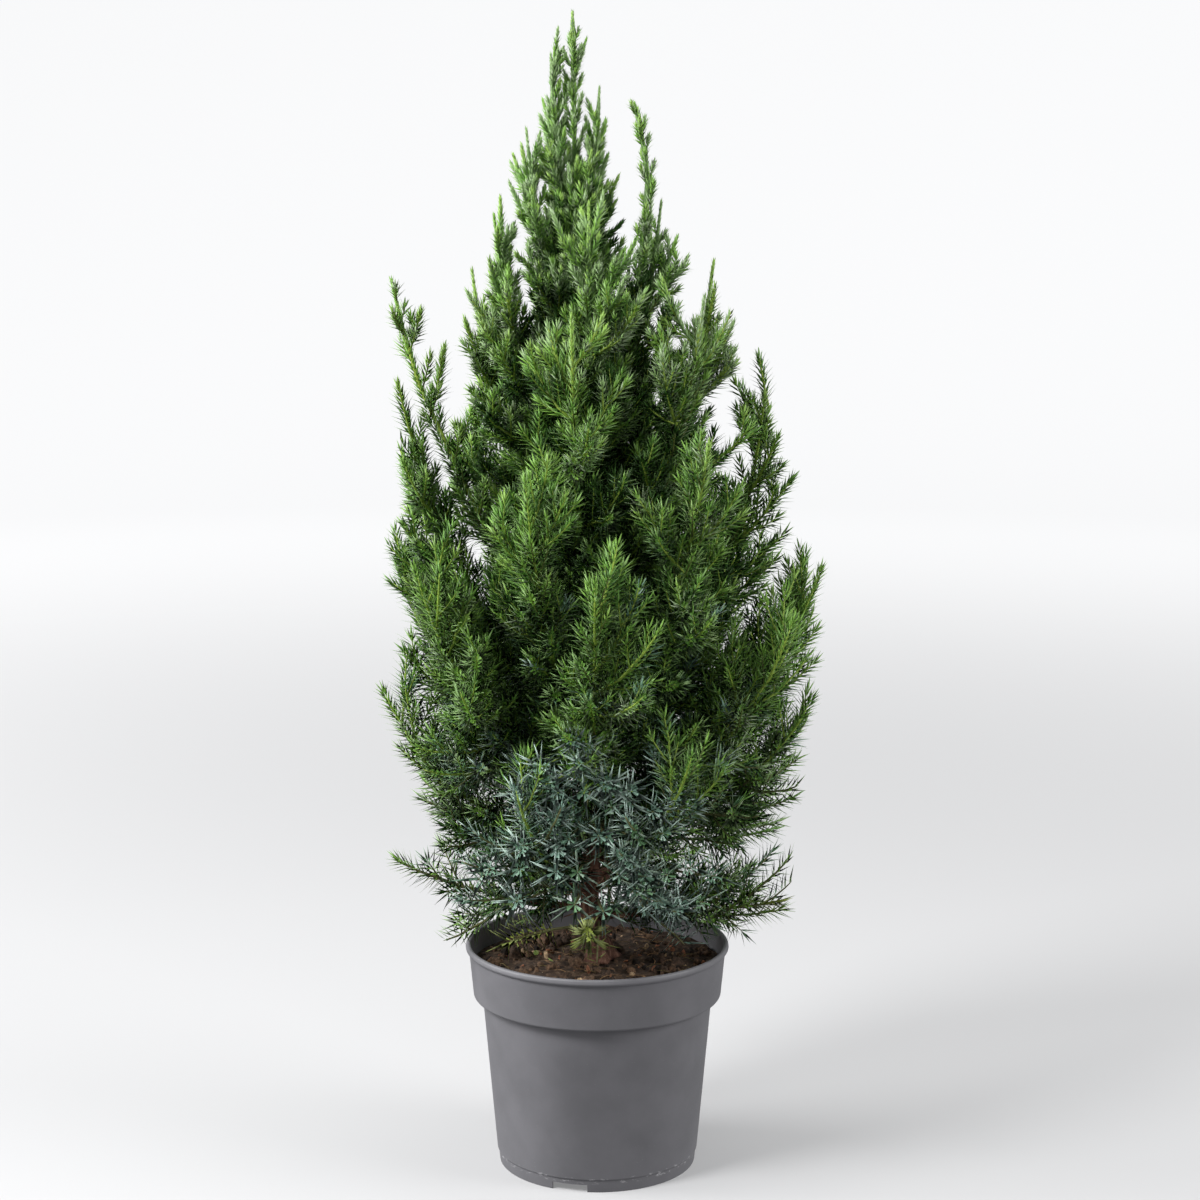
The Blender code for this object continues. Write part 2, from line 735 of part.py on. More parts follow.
def grow_branches(plume, own, start, spaces):
    """Return the shapes of a mass's side branches: each grows to where it has most room."""
    rng = random.Random(f"{SEED} {plume['name']}")
    axis = plume["axis"]
    length = lengths_along(axis)[-1] * (1.0 - start)
    count = max(BRANCH_LEAST_COUNT, round(length * (BRANCH_END - BRANCH_START) / BRANCH_PITCH))
    shapes = []
    grown = []
    for k in range(count):
        part = BRANCH_START + (BRANCH_END - BRANCH_START) * (k + 0.5) / count
        root, along = place_on(axis, start + (1.0 - start) * part)
        out, aside = outward_vectors(root, along)
        lean = BRANCH_LEAN_LOW + (BRANCH_LEAN_HIGH - BRANCH_LEAN_LOW) * part
        lean = math.radians(lean + rng.uniform(-BRANCH_LEAN_JITTER, BRANCH_LEAN_JITTER))
        reach = BRANCH_REACH * (1.0 - BRANCH_TAPER * part)
        reach *= rng.uniform(1.0 - BRANCH_REACH_JITTER, 1.0 + BRANCH_REACH_JITTER)
        if plume["free"]:
            reach *= OUTLIER_REACH
        best = (0.0, None, None)
        for attempt in range(BRANCH_TRIES):
            turn = math.radians(GOLDEN_TURN * k + 360.0 * attempt / BRANCH_TRIES)
            outward = math.cos(turn) * out + math.sin(turn) * aside
            direction = unit(along * math.cos(lean) + outward * math.sin(lean))
            found = longest_branch(root, direction, reach, turn, grown, plume, own, spaces)
            if found[0] > best[0]:
                best = found
        if best[1] is not None:
            shapes.append(best[1])
            grown.append(best[2])
    return shapes


def keep_main_body(mesh):
    """Drop loose scraps and the skins of sealed hollows, which leaves one closed body."""
    shape = bmesh.new()
    shape.from_mesh(mesh)
    unseen = set(shape.faces)
    islands = []
    while unseen:
        stack = [unseen.pop()]
        island = list(stack)
        while stack:
            face = stack.pop()
            for edge in face.edges:
                for other in edge.link_faces:
                    if other in unseen:
                        unseen.remove(other)
                        stack.append(other)
                        island.append(other)
        islands.append(island)
    islands.sort(key=len)
    for island in islands[:-1]:
        bmesh.ops.delete(shape, geom=island, context="FACES")
    shape.to_mesh(mesh)
    shape.free()


def make_mass(plume, own, spaces, material):
    """Join a mass's stem and side branches into one closed body."""
    bough = plume["bough"]
    length = lengths_along(plume["axis"])[-1]
    if bough:
        start = bough + GAP / length
    elif plume["name"] == "leader":
        start = GAP / length
    else:
        start = clear_start(plume["axis"], STEM_ROOT_RADIUS, STEM_SIDES, spaces)
    name = "foliage_" + plume["name"]
    mass = add_object(name, mesh_from(name, *stem_shape(plume, own, start, spaces)))
    twigs = bpy.data.collections.new(name + "_twigs")
    bpy.context.scene.collection.children.link(twigs)
    for points, faces in grow_branches(plume, own, start, spaces):
        twig = bpy.data.objects.new(name + "_twig", mesh_from(name + "_twig", points, faces))
        twigs.objects.link(twig)
    if twigs.objects:
        union = mass.modifiers.new("join", "BOOLEAN")
        union.operation = "UNION"
        union.solver = "MANIFOLD"
        union.operand_type = "COLLECTION"
        union.collection = twigs
        bake_modifiers(mass)
    for twig in list(twigs.objects):
        bpy.data.objects.remove(twig, do_unlink=True)
    bpy.data.collections.remove(twigs)
    keep_main_body(mass.data)
    mass.data.materials.clear()
    mass.data.materials.append(material)
    return mass


def main():
    remove_all_objects()
    make_pot(make_material("dark grey plastic", (0.115, 0.113, 0.124), 0.55))
    make_soil(make_material("potting soil", (0.030, 0.018, 0.010), 0.95))
    bark = make_material("reddish bark", (0.075, 0.030, 0.018), 0.85)
    make_trunk(bark)
    plumes = plan_plumes()
    spaces = Spaces(plumes)
    green = make_material("green needles", (0.060, 0.130, 0.035), 0.55)
    blue_green = make_material("blue-green needles", (0.075, 0.130, 0.085), 0.55)
    for own, plume in enumerate(plumes):
        if plume["bough"]:
            make_bough(plume, spaces, bark)
        low = plume["axis"][-1][2] < BLUE_GREEN_BELOW
        make_mass(plume, own, spaces, blue_green if low else green)


main()
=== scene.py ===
"""Looks of the potted Chinese juniper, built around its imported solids.

Each mass of foliage grows the same stem and side branches as in the part's source, and then
finer twigs and needles within the same space. Units are metres, +Z is up and -Y is the front.
"""
import math
import random

import bmesh
import bpy
import numpy as np
from mathutils import Euler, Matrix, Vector, noise


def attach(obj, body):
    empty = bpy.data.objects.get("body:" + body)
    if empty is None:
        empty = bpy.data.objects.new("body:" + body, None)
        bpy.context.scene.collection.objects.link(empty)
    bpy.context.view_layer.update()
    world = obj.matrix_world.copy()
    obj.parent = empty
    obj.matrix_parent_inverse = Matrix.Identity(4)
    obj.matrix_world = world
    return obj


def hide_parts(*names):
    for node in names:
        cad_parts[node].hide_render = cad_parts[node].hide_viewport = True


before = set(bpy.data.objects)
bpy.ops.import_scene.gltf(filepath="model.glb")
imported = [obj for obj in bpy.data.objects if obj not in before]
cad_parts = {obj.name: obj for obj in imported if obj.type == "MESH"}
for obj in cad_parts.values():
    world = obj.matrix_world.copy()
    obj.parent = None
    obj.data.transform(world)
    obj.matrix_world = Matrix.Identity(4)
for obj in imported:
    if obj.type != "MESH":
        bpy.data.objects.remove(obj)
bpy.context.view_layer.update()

ACROSS, FORE, UP = np.eye(3)
TINY = 1e-12
# A direction whose part along the guide isn't less than this takes the other guide
GUIDE_LIMIT = 0.9

# Camera, fitted to the photograph
CAMERA_PLACE = (0.0018, -1.6840, 0.6570)
CAMERA_TILT = 80.31
CAMERA_LENS = 81.0
CAMERA_SENSOR = 36.0

# Gap between neighbouring limbs, as in the source
GAP = 0.0003

# Pot
POT_HEIGHT = 0.1460
RIM_RADIUS = 0.0850
LIP_HEIGHT = 0.0046
LIP_WIDTH = 0.0034
BAND_TOP_RADIUS = 0.0828
BAND_FOOT_RADIUS = 0.0800
BAND_FOOT_HEIGHT = 0.1112
BODY_TOP_RADIUS = 0.0742
BODY_FOOT_RADIUS = 0.0651
SKIRT_HEIGHT = 0.0080
SKIRT_TOP_RADIUS = 0.0643
SKIRT_FOOT_RADIUS = 0.0635
WALL = 0.0016
BASE_UNDERSIDE = 0.0066
BASE_TOP = 0.0084
HUB_RADIUS = 0.0120
POT_SEGMENTS = 144
NOTCH_COUNT = 3
NOTCH_WIDTH = 0.0230
NOTCH_HEIGHT = 0.0050
NOTCH_FIRST_TURN = -106.0
# How far the notches' cutters run inwards and outwards of the skirt, and all cutters above and below
NOTCH_INSIDE = 0.0060
NOTCH_OUTSIDE = 0.0040
CUT_BEYOND = 0.0010
# Rounding of the section's corners: radius, most share of a side, and steps
CORNER_RADIUS = 0.0006
CORNER_SHARE = 0.45
CORNER_STEPS = 3
# Edges sharper than this angle stay sharp
SHARP_FROM = 50.0
# Scuffs along the skirt's top: lowest and highest place, and how far they fade
SCUFF_BAND = (SKIRT_HEIGHT - 0.0016, SKIRT_HEIGHT + 0.0014, 0.0012)
SCUFF_COLOUR = (0.46, 0.455, 0.47)
SCUFF_STOPS = ((0.56, (0.0, 0.0, 0.0)), (0.66, (1.0, 1.0, 1.0)))
SPECK_COLOUR = (0.36, 0.355, 0.36)
SPECK_STOPS = ((0.74, (0.0, 0.0, 0.0)), (0.80, (0.5, 0.5, 0.5)))
POT_COLOUR = (0.105, 0.103, 0.114)
POT_STOPS = ((0.35, (0.160, 0.158, 0.170)), (0.65, (0.186, 0.183, 0.197)))
# Strength and depth
POT_RELIEF = (0.10, 0.0002)
DRAIN_COUNT = 6
DRAIN_RADIUS = 0.0055
DRAIN_CIRCLE = 0.0470
DRAIN_SIDES = 24

# Soil
SOIL_LEVEL = 0.1340
SOIL_EDGE_DROP = 0.0020
SOIL_RADIUS = 0.0795
SOIL_RINGS = 64
SOIL_SPOKES = 150
SOIL_UNEVENNESS = 0.0016
SOIL_GRAIN = 60.0
# Fractal noises here: dimension, step between octaves, and octaves
SOIL_NOISE = (0.8, 2.0, 5)

# Tones of the lumps, and the lumps: count, least and greatest half size, flatness, subdivisions,
# roughness and tones
SOIL_TONES = {
    "clod": (0.066, 0.038, 0.023),
    "dark": (0.022, 0.013, 0.008),
    "brown": (0.125, 0.072, 0.041),
    "red chip": (0.300, 0.120, 0.060),
    "tan chip": (0.420, 0.290, 0.170),
}
LUMPS = (
    (46, 0.0026, 0.0062, 0.80, 3, 0.60, ("clod", "clod", "dark", "brown")),
    (240, 0.0010, 0.0028, 0.85, 2, 0.50, ("clod", "dark", "brown", "brown")),
    (60, 0.0012, 0.0034, 0.40, 2, 0.30, ("red chip", "tan chip", "brown")),
    (90, 0.0004, 0.0010, 0.70, 2, 0.30, ("tan chip", "red chip")),
)
# Sizes follow this power, so most lumps are small, and a lump's middle is raised by this share of
# its half height
LUMP_POWER = 2.2
LUMP_RISE = 0.25
LUMP_LENGTH = (0.9, 1.5)
LUMP_WIDTH = (0.7, 1.0)
LUMP_HEIGHT = (0.8, 1.2)
LUMP_GRAIN = 1.3
LUMP_NOISE = (0.9, 2.0, 4)
# Room that lumps and litter leave round the trunk
TRUNK_ROOM = 0.011
LITTER_COUNT = 90
LITTER_LENGTH = 0.015
LITTER_RADIUS = (0.00016, 0.00036)
LITTER_GIRTH = (1.0, 1.0, 0.8, 0.6)
LITTER_ARCH = 0.0022
LITTER_SHARES = (0.4, 1.0)
LITTER_RISE = (0.0008, 0.0022)
LITTER_BEND = 0.003
LITTER_SLOPE = 0.0012
LITTER_TONES = {"dry fibre": (0.26, 0.155, 0.075), "fallen needle": (0.13, 0.095, 0.035)}
# Seed leaves: place, turn and tilt
SEED_LEAVES = ((-0.040, 0.0055, 60.0, 52.0), (-0.030, -0.0096, 110.0, 30.0))
SEED_LEAF_SIZE = (0.0030, 0.0017, 0.00025)
SEED_LEAF_CUP = 60.0
SEED_LEAF_RISE = 0.0030

# Trunk: height, sideways place and radius of its axis
TRUNK_COURSE = (
    (0.1343, 0.0020, 0.0128),
    (0.1400, 0.0012, 0.0094),
    (0.1500, -0.0020, 0.0070),
    (0.1650, -0.0055, 0.0058),
    (0.2200, -0.0030, 0.0052),
    (0.3200, -0.0040, 0.0045),
    (0.4400, -0.0080, 0.0034),
    (0.5500, -0.0120, 0.0024),
    (0.6400, -0.0138, 0.0014),
)
FLARE_LOBES = 5
FLARE_DEPTH = 0.16
FLARE_HEIGHT = 0.020
# Nearer to the trunk's axis than this, a point has no outward side
AXIS_NEAR = 0.002

# Tubes of bark: rings, sides and relief, and the waves of the relief around and along them
TRUNK_BARK = (420, 40, 0.20)
BOUGH_BARK = (40, 14, 0.22)
BARK_WAVES = (2.6, 55.0)
BARK_NOISE = (1.0, 2.0, 4)

# Crown outline: height, left reach and right reach, from the pot's axis
CROWN_OUTLINE = (
    (0.150, -0.095, 0.110),
    (0.165, -0.112, 0.124),
    (0.200, -0.129, 0.123),
    (0.250, -0.119, 0.131),
    (0.300, -0.134, 0.135),
    (0.350, -0.130, 0.146),
    (0.400, -0.132, 0.136),
    (0.450, -0.127, 0.126),
    (0.500, -0.116, 0.108),
    (0.550, -0.085, 0.087),
    (0.600, -0.067, 0.054),
    (0.650, -0.051, 0.014),
    (0.700, -0.031, -0.003),
    (0.735, -0.018, -0.012),
)
CROWN_DEPTH = 0.93
CROWN_TOLERANCE = 0.003
# Least height of the foliage, and the higher one over the front: its middle, half width and depth
CROWN_FLOOR = 0.152
FRONT_FLOOR = 0.188
FRONT_MIDDLE = -0.010
FRONT_HALF_WIDTH = 0.080
FRONT_DEPTH = 0.060

# Foliage tiers: name, masses, tip height, stagger, root height, first turn and bough share
TIERS = (
    ("crest", 2, 0.697, 0.010, 0.590, 178, 0.0),
    ("top", 3, 0.652, 0.010, 0.520, 205, 0.0),
    ("shoulder", 4, 0.606, 0.012, 0.440, 4, 0.0),
    ("upper", 6, 0.548, 0.014, 0.350, 324, 0.0),
    ("middle", 6, 0.474, 0.014, 0.275, 8, 0.0),
    ("waist", 7, 0.385, 0.016, 0.225, 270, 0.20),
    ("lower", 6, 0.290, 0.016, 0.190, 180, 0.20),
    ("skirt", 4, 0.195, 0.008, 0.163, 182, 0.24),
)
# Tips that mark the outline, by tier and place in the tier
NAMED_TIPS = {
    ("top", 1): (0.023, -0.006, 0.678),
    ("upper", 1): (0.073, 0.020, 0.581),
    ("upper", 3): (-0.079, 0.034, 0.574),
    ("upper", 4): (-0.127, -0.004, 0.570),
    ("waist", 2): (0.142, 0.008, 0.388),
    ("lower", 0): (-0.135, -0.006, 0.311),
    ("skirt", 0): (-0.129, -0.004, 0.202),
    ("skirt", 2): (0.124, -0.008, 0.176),
}
# Plumes that stand out of the outline by themselves
OUTLIERS = (("top", 1), ("upper", 4))
LEADER_TIP = (-0.0150, 0.0, 0.7350)
TURN_JITTER = 7.0
# Shares of the stagger by turns, for the plumes' tips and roots
TIP_STAGGERS = (1.0, -1.0, 0.3)
ROOT_STAGGERS = (0.6, -0.6, 0.0)
AXIS_SHOULDER = 0.74
AXIS_RISE = 0.30
AXIS_STEPS = 14
START_STEP = 0.0005
START_LIMIT = 0.5
SEED = 12

# Boughs and the stems of the masses, as in the source
BOUGH_ROOT_RADIUS = 0.0028
BOUGH_TIP_RADIUS = 0.0019
BOUGH_SIDES = 5
# Share of a plume's axis along which its bough shows on within the mass, and its girth at the end
BOUGH_RUN_ON = 0.30
BOUGH_END_GIRTH = 0.3
STEM_SIDES = 3
STEM_ROOT_RADIUS = 0.0016
NEEDLE_REACH = 0.0100

# Side branches, as in the source
BRANCH_PITCH = 0.0180
BRANCH_START = 0.08
BRANCH_END = 0.90
BRANCH_REACH = 0.0760
BRANCH_TAPER = 0.50
OUTLIER_REACH = 0.62
BRANCH_LEAN_LOW = 50.0
BRANCH_LEAN_HIGH = 28.0
BRANCH_LEAN_JITTER = 5.0
BRANCH_VARIES = (0.85, 1.15)
BRANCH_GIRTH = 0.15
BRANCH_MOST_GIRTH = 0.0068
BRANCH_TRIES = 7
BRANCH_APART = 0.0110
BRANCH_APART_FROM = 0.45
# A side branch's two rings, place and girth, and its needles' reach and tilt
BRANCH_RINGS = ((0.34, 1.0), (0.70, 0.8))
BRANCH_NEEDLE_REACH = 0.24
BRANCH_NEEDLE_TILT = 0.9
BRANCH_SHARES = (1.0, 0.84, 0.70, 0.58, 0.46, 0.36)
SPACE_MARGIN = 0.0006
GOLDEN_TURN = 137.508

# Finer twigs: values by height
FILLER_PITCH = ((0.15, 0.0070), (0.24, 0.0056), (0.45, 0.0052), (0.60, 0.0044), (0.735, 0.0038))
FILLER_LENGTH = ((0.15, 0.026), (0.25, 0.030), (0.45, 0.028), (0.60, 0.023), (0.70, 0.019))
FILLER_SHARES = (1.0, 0.82, 0.68, 0.56, 0.46)
TWIG_PITCH = ((0.15, 0.0078), (0.24, 0.0058), (0.45, 0.0054), (0.60, 0.0052), (0.735, 0.0052))
TWIG_LENGTH = ((0.15, 0.022), (0.30, 0.026), (0.50, 0.023), (0.60, 0.016), (0.70, 0.013))
TWIG_LEAN = ((0.15, 50.0), (0.35, 46.0), (0.55, 42.0), (0.735, 44.0))
TWIG_LIFT = ((0.15, 0.05), (0.25, 0.25), (0.35, 0.55), (0.60, 0.50))
TWIG_FIRST_LIFT = 0.6
TWIG_LEAN_JITTER = 6.0
TWIG_VARIES = (0.78, 1.18)
COUNT_VARIES = (0.2, 0.8)
PLACE_VARIES = (0.25, 0.75)
# The lean's factor at the parent's root, and how much of it goes by the tip
TWIG_LEAN_FACTOR = (1.08, 0.22)
TWIG_LEAST = ((0.15, 0.012), (0.50, 0.011), (0.60, 0.008), (0.735, 0.006))
SPRIG_PARENT = 0.026
# Room that twigs keep from the crown's top, from the trunk and from other plumes
TOP_ROOM = 0.004
SHOOT_TRUNK_ROOM = 0.002
PLUME_ROOM = -0.001
# Share of its length along which a twig has no needles, by its kind
BARE_PARTS = {"trunk shoot": 0.15, "foot": 0.35, "branch": 0.16, "edge": 0.12, "side twig": 0.06}
# Share of a twig's length that stands for its place
TWIG_MIDDLE = 0.6
# How far inside the outline the finer twigs stop, by height, and a further random share of it
LOOK_INSET = (
    (0.150, 0.012),
    (0.205, 0.019),
    (0.240, 0.013),
    (0.262, 0.009),
    (0.310, 0.013),
    (0.345, 0.005),
    (0.400, 0.005),
    (0.480, 0.003),
    (0.520, 0.009),
    (0.600, 0.008),
    (0.680, 0.003),
    (0.735, 0.001),
)
LOOK_SPREAD = ((0.15, 0.012), (0.50, 0.010), (0.60, 0.006), (0.735, 0.003))
LIMB_SAG = ((0.15, 0.12), (0.25, 0.20), (0.45, 0.26), (0.60, 0.22))
# The outliers' twigs are shorter and steeper, and their branches are shorter
OUTLIER_TWIG_LENGTH = ((0.50, 0.44), (0.60, 0.70))
OUTLIER_TWIG_LEAN = 0.95
OUTLIER_BRANCHES = 0.70
# Share of a plume's stem without needles, by the height of its root
BARE_STEM = ((0.15, 0.04), (0.19, 0.12), (0.30, 0.25), (0.44, 0.25), (0.50, 0.06))
# One outlier bows to the right, by half of this
BULGE_PLUME = "top_2"
BULGE = 0.037
BULGE_STEPS = 101
# Low stems that end at this share of their length
SHORT_PLUMES = {"skirt_1": 0.96, "skirt_3": 0.86}
# Depths inside the outline between which more and more twigs take the shade tone, a painted shade, and their
# most share
SHADE_DEPTH = (0.028, 0.075)
SHADE_MOST = 0.45

# Shoots that reach the crown's edge: sideways place and height of their tips
EDGE_TIPS = (
    (-0.027, 0.709), (-0.036, 0.679), (0.004, 0.668), (-0.049, 0.652),
    (-0.054, 0.646), (-0.056, 0.629), (-0.063, 0.620), (-0.126, 0.507),
    (-0.126, 0.457), (-0.131, 0.411), (-0.131, 0.384), (-0.126, 0.337), (-0.126, 0.276),
    (-0.114, 0.243), (0.046, 0.615), (0.052, 0.596), (0.087, 0.543), (0.105, 0.522),
    (0.107, 0.499), (0.115, 0.474), (0.126, 0.446), (0.136, 0.396), (0.143, 0.347),
    (0.142, 0.326), (0.133, 0.298), (0.132, 0.262), (0.128, 0.239), (0.117, 0.216),
    (0.121, 0.168), (0.088, 0.192), (0.068, 0.176), (-0.072, 0.176), (0.014, 0.618),
    (-0.100, 0.226), (0.018, 0.606), (0.009, 0.630), (-0.058, 0.602), (-0.066, 0.592),
    (-0.082, 0.563), (-0.085, 0.545), (-0.010, 0.716), (-0.027, 0.722),
)
# Shoots of the left outlier
OUTLIER_TIPS = ((-0.112, 0.552), (-0.099, 0.528))
LEFT_OUTLIER = "upper_5"
# Gaps that show the trunk or sky from the front: sideways place, height, half width and half height
TRUNK_GAPS = ((-0.008, 0.168, 0.009, 0.018), (0.004, 0.212, 0.012, 0.012), (-0.003, 0.150, 0.018, 0.014))
SKY_GAPS = (
    (-0.0085, 0.7310, 0.0050, 0.0085),
    (-0.0205, 0.7330, 0.0036, 0.0050),
    (0.042, 0.634, 0.004, 0.022),
    (0.062, 0.560, 0.008, 0.014),
    (0.084, 0.474, 0.006, 0.017),
    (0.098, 0.458, 0.006, 0.014),
    (-0.116, 0.2165, 0.018, 0.008),
    (-0.125, 0.2260, 0.009, 0.012),
)
# The tips are pulled inwards and lie at a random depth: at most a share of their sideways place
EDGE_PULL = 0.003
EDGE_DEPTH = 0.3
EDGE_MOST_DEPTH = 0.07
EDGE_SAG = 0.10
# Weight of a shoot's length against its lean where it looks for its root
EDGE_LENGTH_WEIGHT = 9.0
EDGE_LEAN = (
    (0.16, 76.0),
    (0.20, 70.0),
    (0.30, 52.0),
    (0.40, 42.0),
    (0.50, 32.0),
    (0.60, 24.0),
    (0.70, 18.0),
)
EDGE_LENGTH = ((0.16, 0.070), (0.40, 0.062), (0.60, 0.045), (0.70, 0.030))

# Small twigs round the trunk's foot: root and tip
FOOT_TWIGS = (
    ((0.0010, -0.0050, 0.1600), (-0.0002, -0.0330, 0.1400)),
    ((-0.0090, -0.0060, 0.1580), (-0.0560, -0.0400, 0.1570)),
    ((0.0300, -0.0040, 0.1660), (0.0560, -0.0300, 0.1520)),
    ((0.0040, -0.0040, 0.1900), (0.0110, -0.0330, 0.1770)),
    ((0.0180, -0.0030, 0.1850), (0.0300, -0.0330, 0.1760)),
    ((-0.0060, -0.0040, 0.2000), (-0.0150, -0.0340, 0.1900)),
)
FOOT_RISE = 0.004
# Twigs that point out of the low front: sideways place and height of their tips, and their depth
STARS = (
    (0.007, 0.276), (0.009, 0.261), (-0.024, 0.270), (0.035, 0.257), (-0.026, 0.255), (0.006, 0.242),
    (0.025, 0.240), (0.041, 0.243), (-0.024, 0.233), (-0.026, 0.220), (-0.012, 0.220), (0.030, 0.217),
    (-0.014, 0.200), (0.038, 0.201), (0.058, 0.220), (-0.046, 0.235), (-0.050, 0.200),
)
STAR_COUNT = 24
STAR_SPAN = ((-0.075, 0.080), (0.190, 0.300))
STAR_DEPTH = 0.90
STAR_DROP = 0.010
STAR_SAG = 0.002
STAR_ROOT = 0.60
STAR_BARE = 0.74
STAR_NEEDLE_LENGTH = 1.22
STAR_NEEDLE_WIDTH = 1.2
STAR_NEEDLE_LEAN = 1.12
STAR_TONES = ("steel", "steel", "teal", "sea")
# Dead twigs round the trunk's foot
DRY_COUNT = 46
DRY_SPAN = (0.150, 0.262)
DRY_LENGTH = (0.014, 0.034)
DRY_RADIUS = (0.00035, 0.00080)
DRY_SLOPE = (-0.5, 0.7)
DRY_CROOK = 0.18
DRY_SHARES = (0.0, 0.25, 0.5, 0.75, 0.92)
DRY_GIRTH = (1.0, 0.9, 0.75, 0.6, 0.4)
DRY_LEAST_HEIGHT = SOIL_LEVEL + 0.004
# Height above which needles cover the trunk
COVERED_FROM = 0.500
# Shoots on the trunk itself
TRUNK_SHOOTS = 240
TRUNK_SHOOT_CROWDING = 0.75
TRUNK_SHOOT_JITTER = 0.003
TRUNK_SHOOT_LEAN_JITTER = 8.0
TRUNK_SHOOT_VARIES = (0.8, 1.2)
TRUNK_SHOOT_LIFT = 0.35
TRUNK_SHOOT_ROOT = 0.8
TRUNK_SHOOT_SPAN = (0.156, 0.610)
TRUNK_SHOOT_LEAN = ((0.16, 80.0), (0.20, 68.0), (0.35, 50.0), (0.50, 34.0), (0.60, 24.0))
TRUNK_SHOOT_LENGTH = ((0.16, 0.070), (0.20, 0.070), (0.28, 0.085), (0.40, 0.070), (0.56, 0.045))
# Orders of twigs: axis of a plume, side branches, their twigs, the trunk's top, the foot and the edge
STEM, BRANCH, TWIG, COVER, FOOT, EDGE = range(6)
# Side twigs: first and last place along the parent, pitch, length, its factor at the parent's
# root and how much of that goes by the tip, and order
FILLER_GROWTH = (0.08, 0.97, FILLER_PITCH, FILLER_LENGTH, 1.20, 0.55, BRANCH)
TWIG_GROWTH = (0.14, 0.94, TWIG_PITCH, TWIG_LENGTH, 1.15, 0.55, TWIG)
SPRIG_GROWTH = (0.25, 0.80, TWIG_PITCH, TWIG_LENGTH, 0.75, 0.30, TWIG)

# Needles: values by height
NEEDLE_LENGTH = (
    (0.15, 0.0150),
    (0.30, 0.0138),
    (0.42, 0.0128),
    (0.52, 0.0104),
    (0.60, 0.0076),
    (0.66, 0.0066),
    (0.735, 0.0060),
)
NEEDLE_LEAN = (
    (0.15, 66.0),
    (0.25, 61.0),
    (0.35, 56.0),
    (0.45, 52.0),
    (0.55, 44.0),
    (0.62, 37.0),
    (0.735, 33.0),
)
TIP_CLOSING = ((0.15, 0.40), (0.34, 0.40), (0.60, 0.60))
NEEDLE_HALF_WIDTH = (
    (0.15, 0.00068),
    (0.30, 0.00072),
    (0.45, 0.00076),
    (0.60, 0.00076),
    (0.735, 0.00070),
)
YOUNG_LOSS = ((0.15, 0.20), (0.35, 0.28), (0.50, 0.35))
WHORL_PITCH = ((0.15, 0.0026), (0.30, 0.0021), (0.50, 0.0018), (0.60, 0.0016), (0.735, 0.0015))
WHORL_NEEDLES = 3
TIP_CROWDING = 0.78
# Random changes of a needle's place, turn, lean, length and width, most of them as factors
NEEDLE_SHIFT = 0.4
NEEDLE_TURN_JITTER = 0.2
NEEDLE_LEAN_VARIES = (0.88, 1.12)
NEEDLE_LENGTH_VARIES = (0.88, 1.08)
NEEDLE_WIDTH_VARIES = (0.85, 1.15)
# A twig's last whorl leans by this share
LAST_LEAN = (0.25, 0.75)
# Needles are younger from this share of a twig on
YOUNG_FROM = 0.72
YOUNG_SPAN = 0.28
# Place of a whorl within its step, and the last place of a needle on its twig
WHORL_PLACE = 0.9
LAST_PLACE = 0.995
NEEDLE_WIDEST = 0.30
NEEDLE_KEEL = 0.5
NEEDLE_EXCESS = 0.004
NEEDLE_ROOM = 0.001
NEEDLE_FACES = np.array(((1, 0, 3), (0, 2, 3), (2, 1, 3)))
# Which faces show the upper side's pale colour, stomatal bands that are partly a painted highlight, and how
# many needles are so
NEEDLE_TURNS = np.array(((True, False, False), (True, True, True), (False, False, False)))
NEEDLE_TURN_SHARES = (0.66, 0.17, 0.17)

STEM_COLOURS = {
    "young stem": (0.300, 0.420, 0.060),
    "older stem": (0.110, 0.140, 0.030),
    "topmost stem": (0.130, 0.230, 0.070),
    "low stem": (0.150, 0.150, 0.055),
}
LOW_STEM_BELOW = 0.270
# Shape of a twig: shares of its length, and its girth there, low in the crown and at its top
GIRTH_SHARES = (0.0, 0.40, 0.78, 0.92)
GIRTH_LOW = (1.00, 0.82, 0.62, 0.50)
GIRTH_TOP = (1.00, 0.90, 1.20, 0.90)
STEM_GIRTH = 0.0014
# Other twigs' girth: its least and most, its base and its gain for each metre of length
TWIG_GIRTH = (0.0006, 0.0011)
TWIG_GIRTH_BASE = 0.00055
TWIG_GIRTH_GAIN = 0.010
# Branches shorter than this are older wood, and twigs longer than that have six sides
OLDER_BELOW = 0.030
THICK_ABOVE = 0.034
TOPMOST_ABOVE = 0.6
TOP_FROM = 0.500
TOP_BLEND = 0.120

# Needle tones: outer face, upper face and gloss; the pale upper face stands for stomatal bands and partly for
# a painted highlight
TONES = {
    # The shade tone is painted shade, dealt to twigs deep inside the crown, with little gloss
    "shade": ((0.026, 0.074, 0.010), (0.040, 0.096, 0.022), 0.14),
    "deep": ((0.064, 0.160, 0.026), (0.110, 0.215, 0.072), 0.26),
    "green": ((0.130, 0.290, 0.044), (0.208, 0.372, 0.112), 0.34),
    "fresh": ((0.188, 0.372, 0.056), (0.260, 0.445, 0.130), 0.36),
    "bright": ((0.255, 0.435, 0.080), (0.325, 0.495, 0.165), 0.36),
    "sage": ((0.240, 0.380, 0.140), (0.365, 0.490, 0.270), 0.34),
    "sea": ((0.134, 0.272, 0.128), (0.330, 0.460, 0.340), 0.32),
    "teal": ((0.145, 0.270, 0.180), (0.420, 0.580, 0.480), 0.30),
    "steel": ((0.190, 0.320, 0.245), (0.520, 0.690, 0.600), 0.30),
    "olive": ((0.240, 0.300, 0.052), (0.310, 0.370, 0.105), 0.30),
}
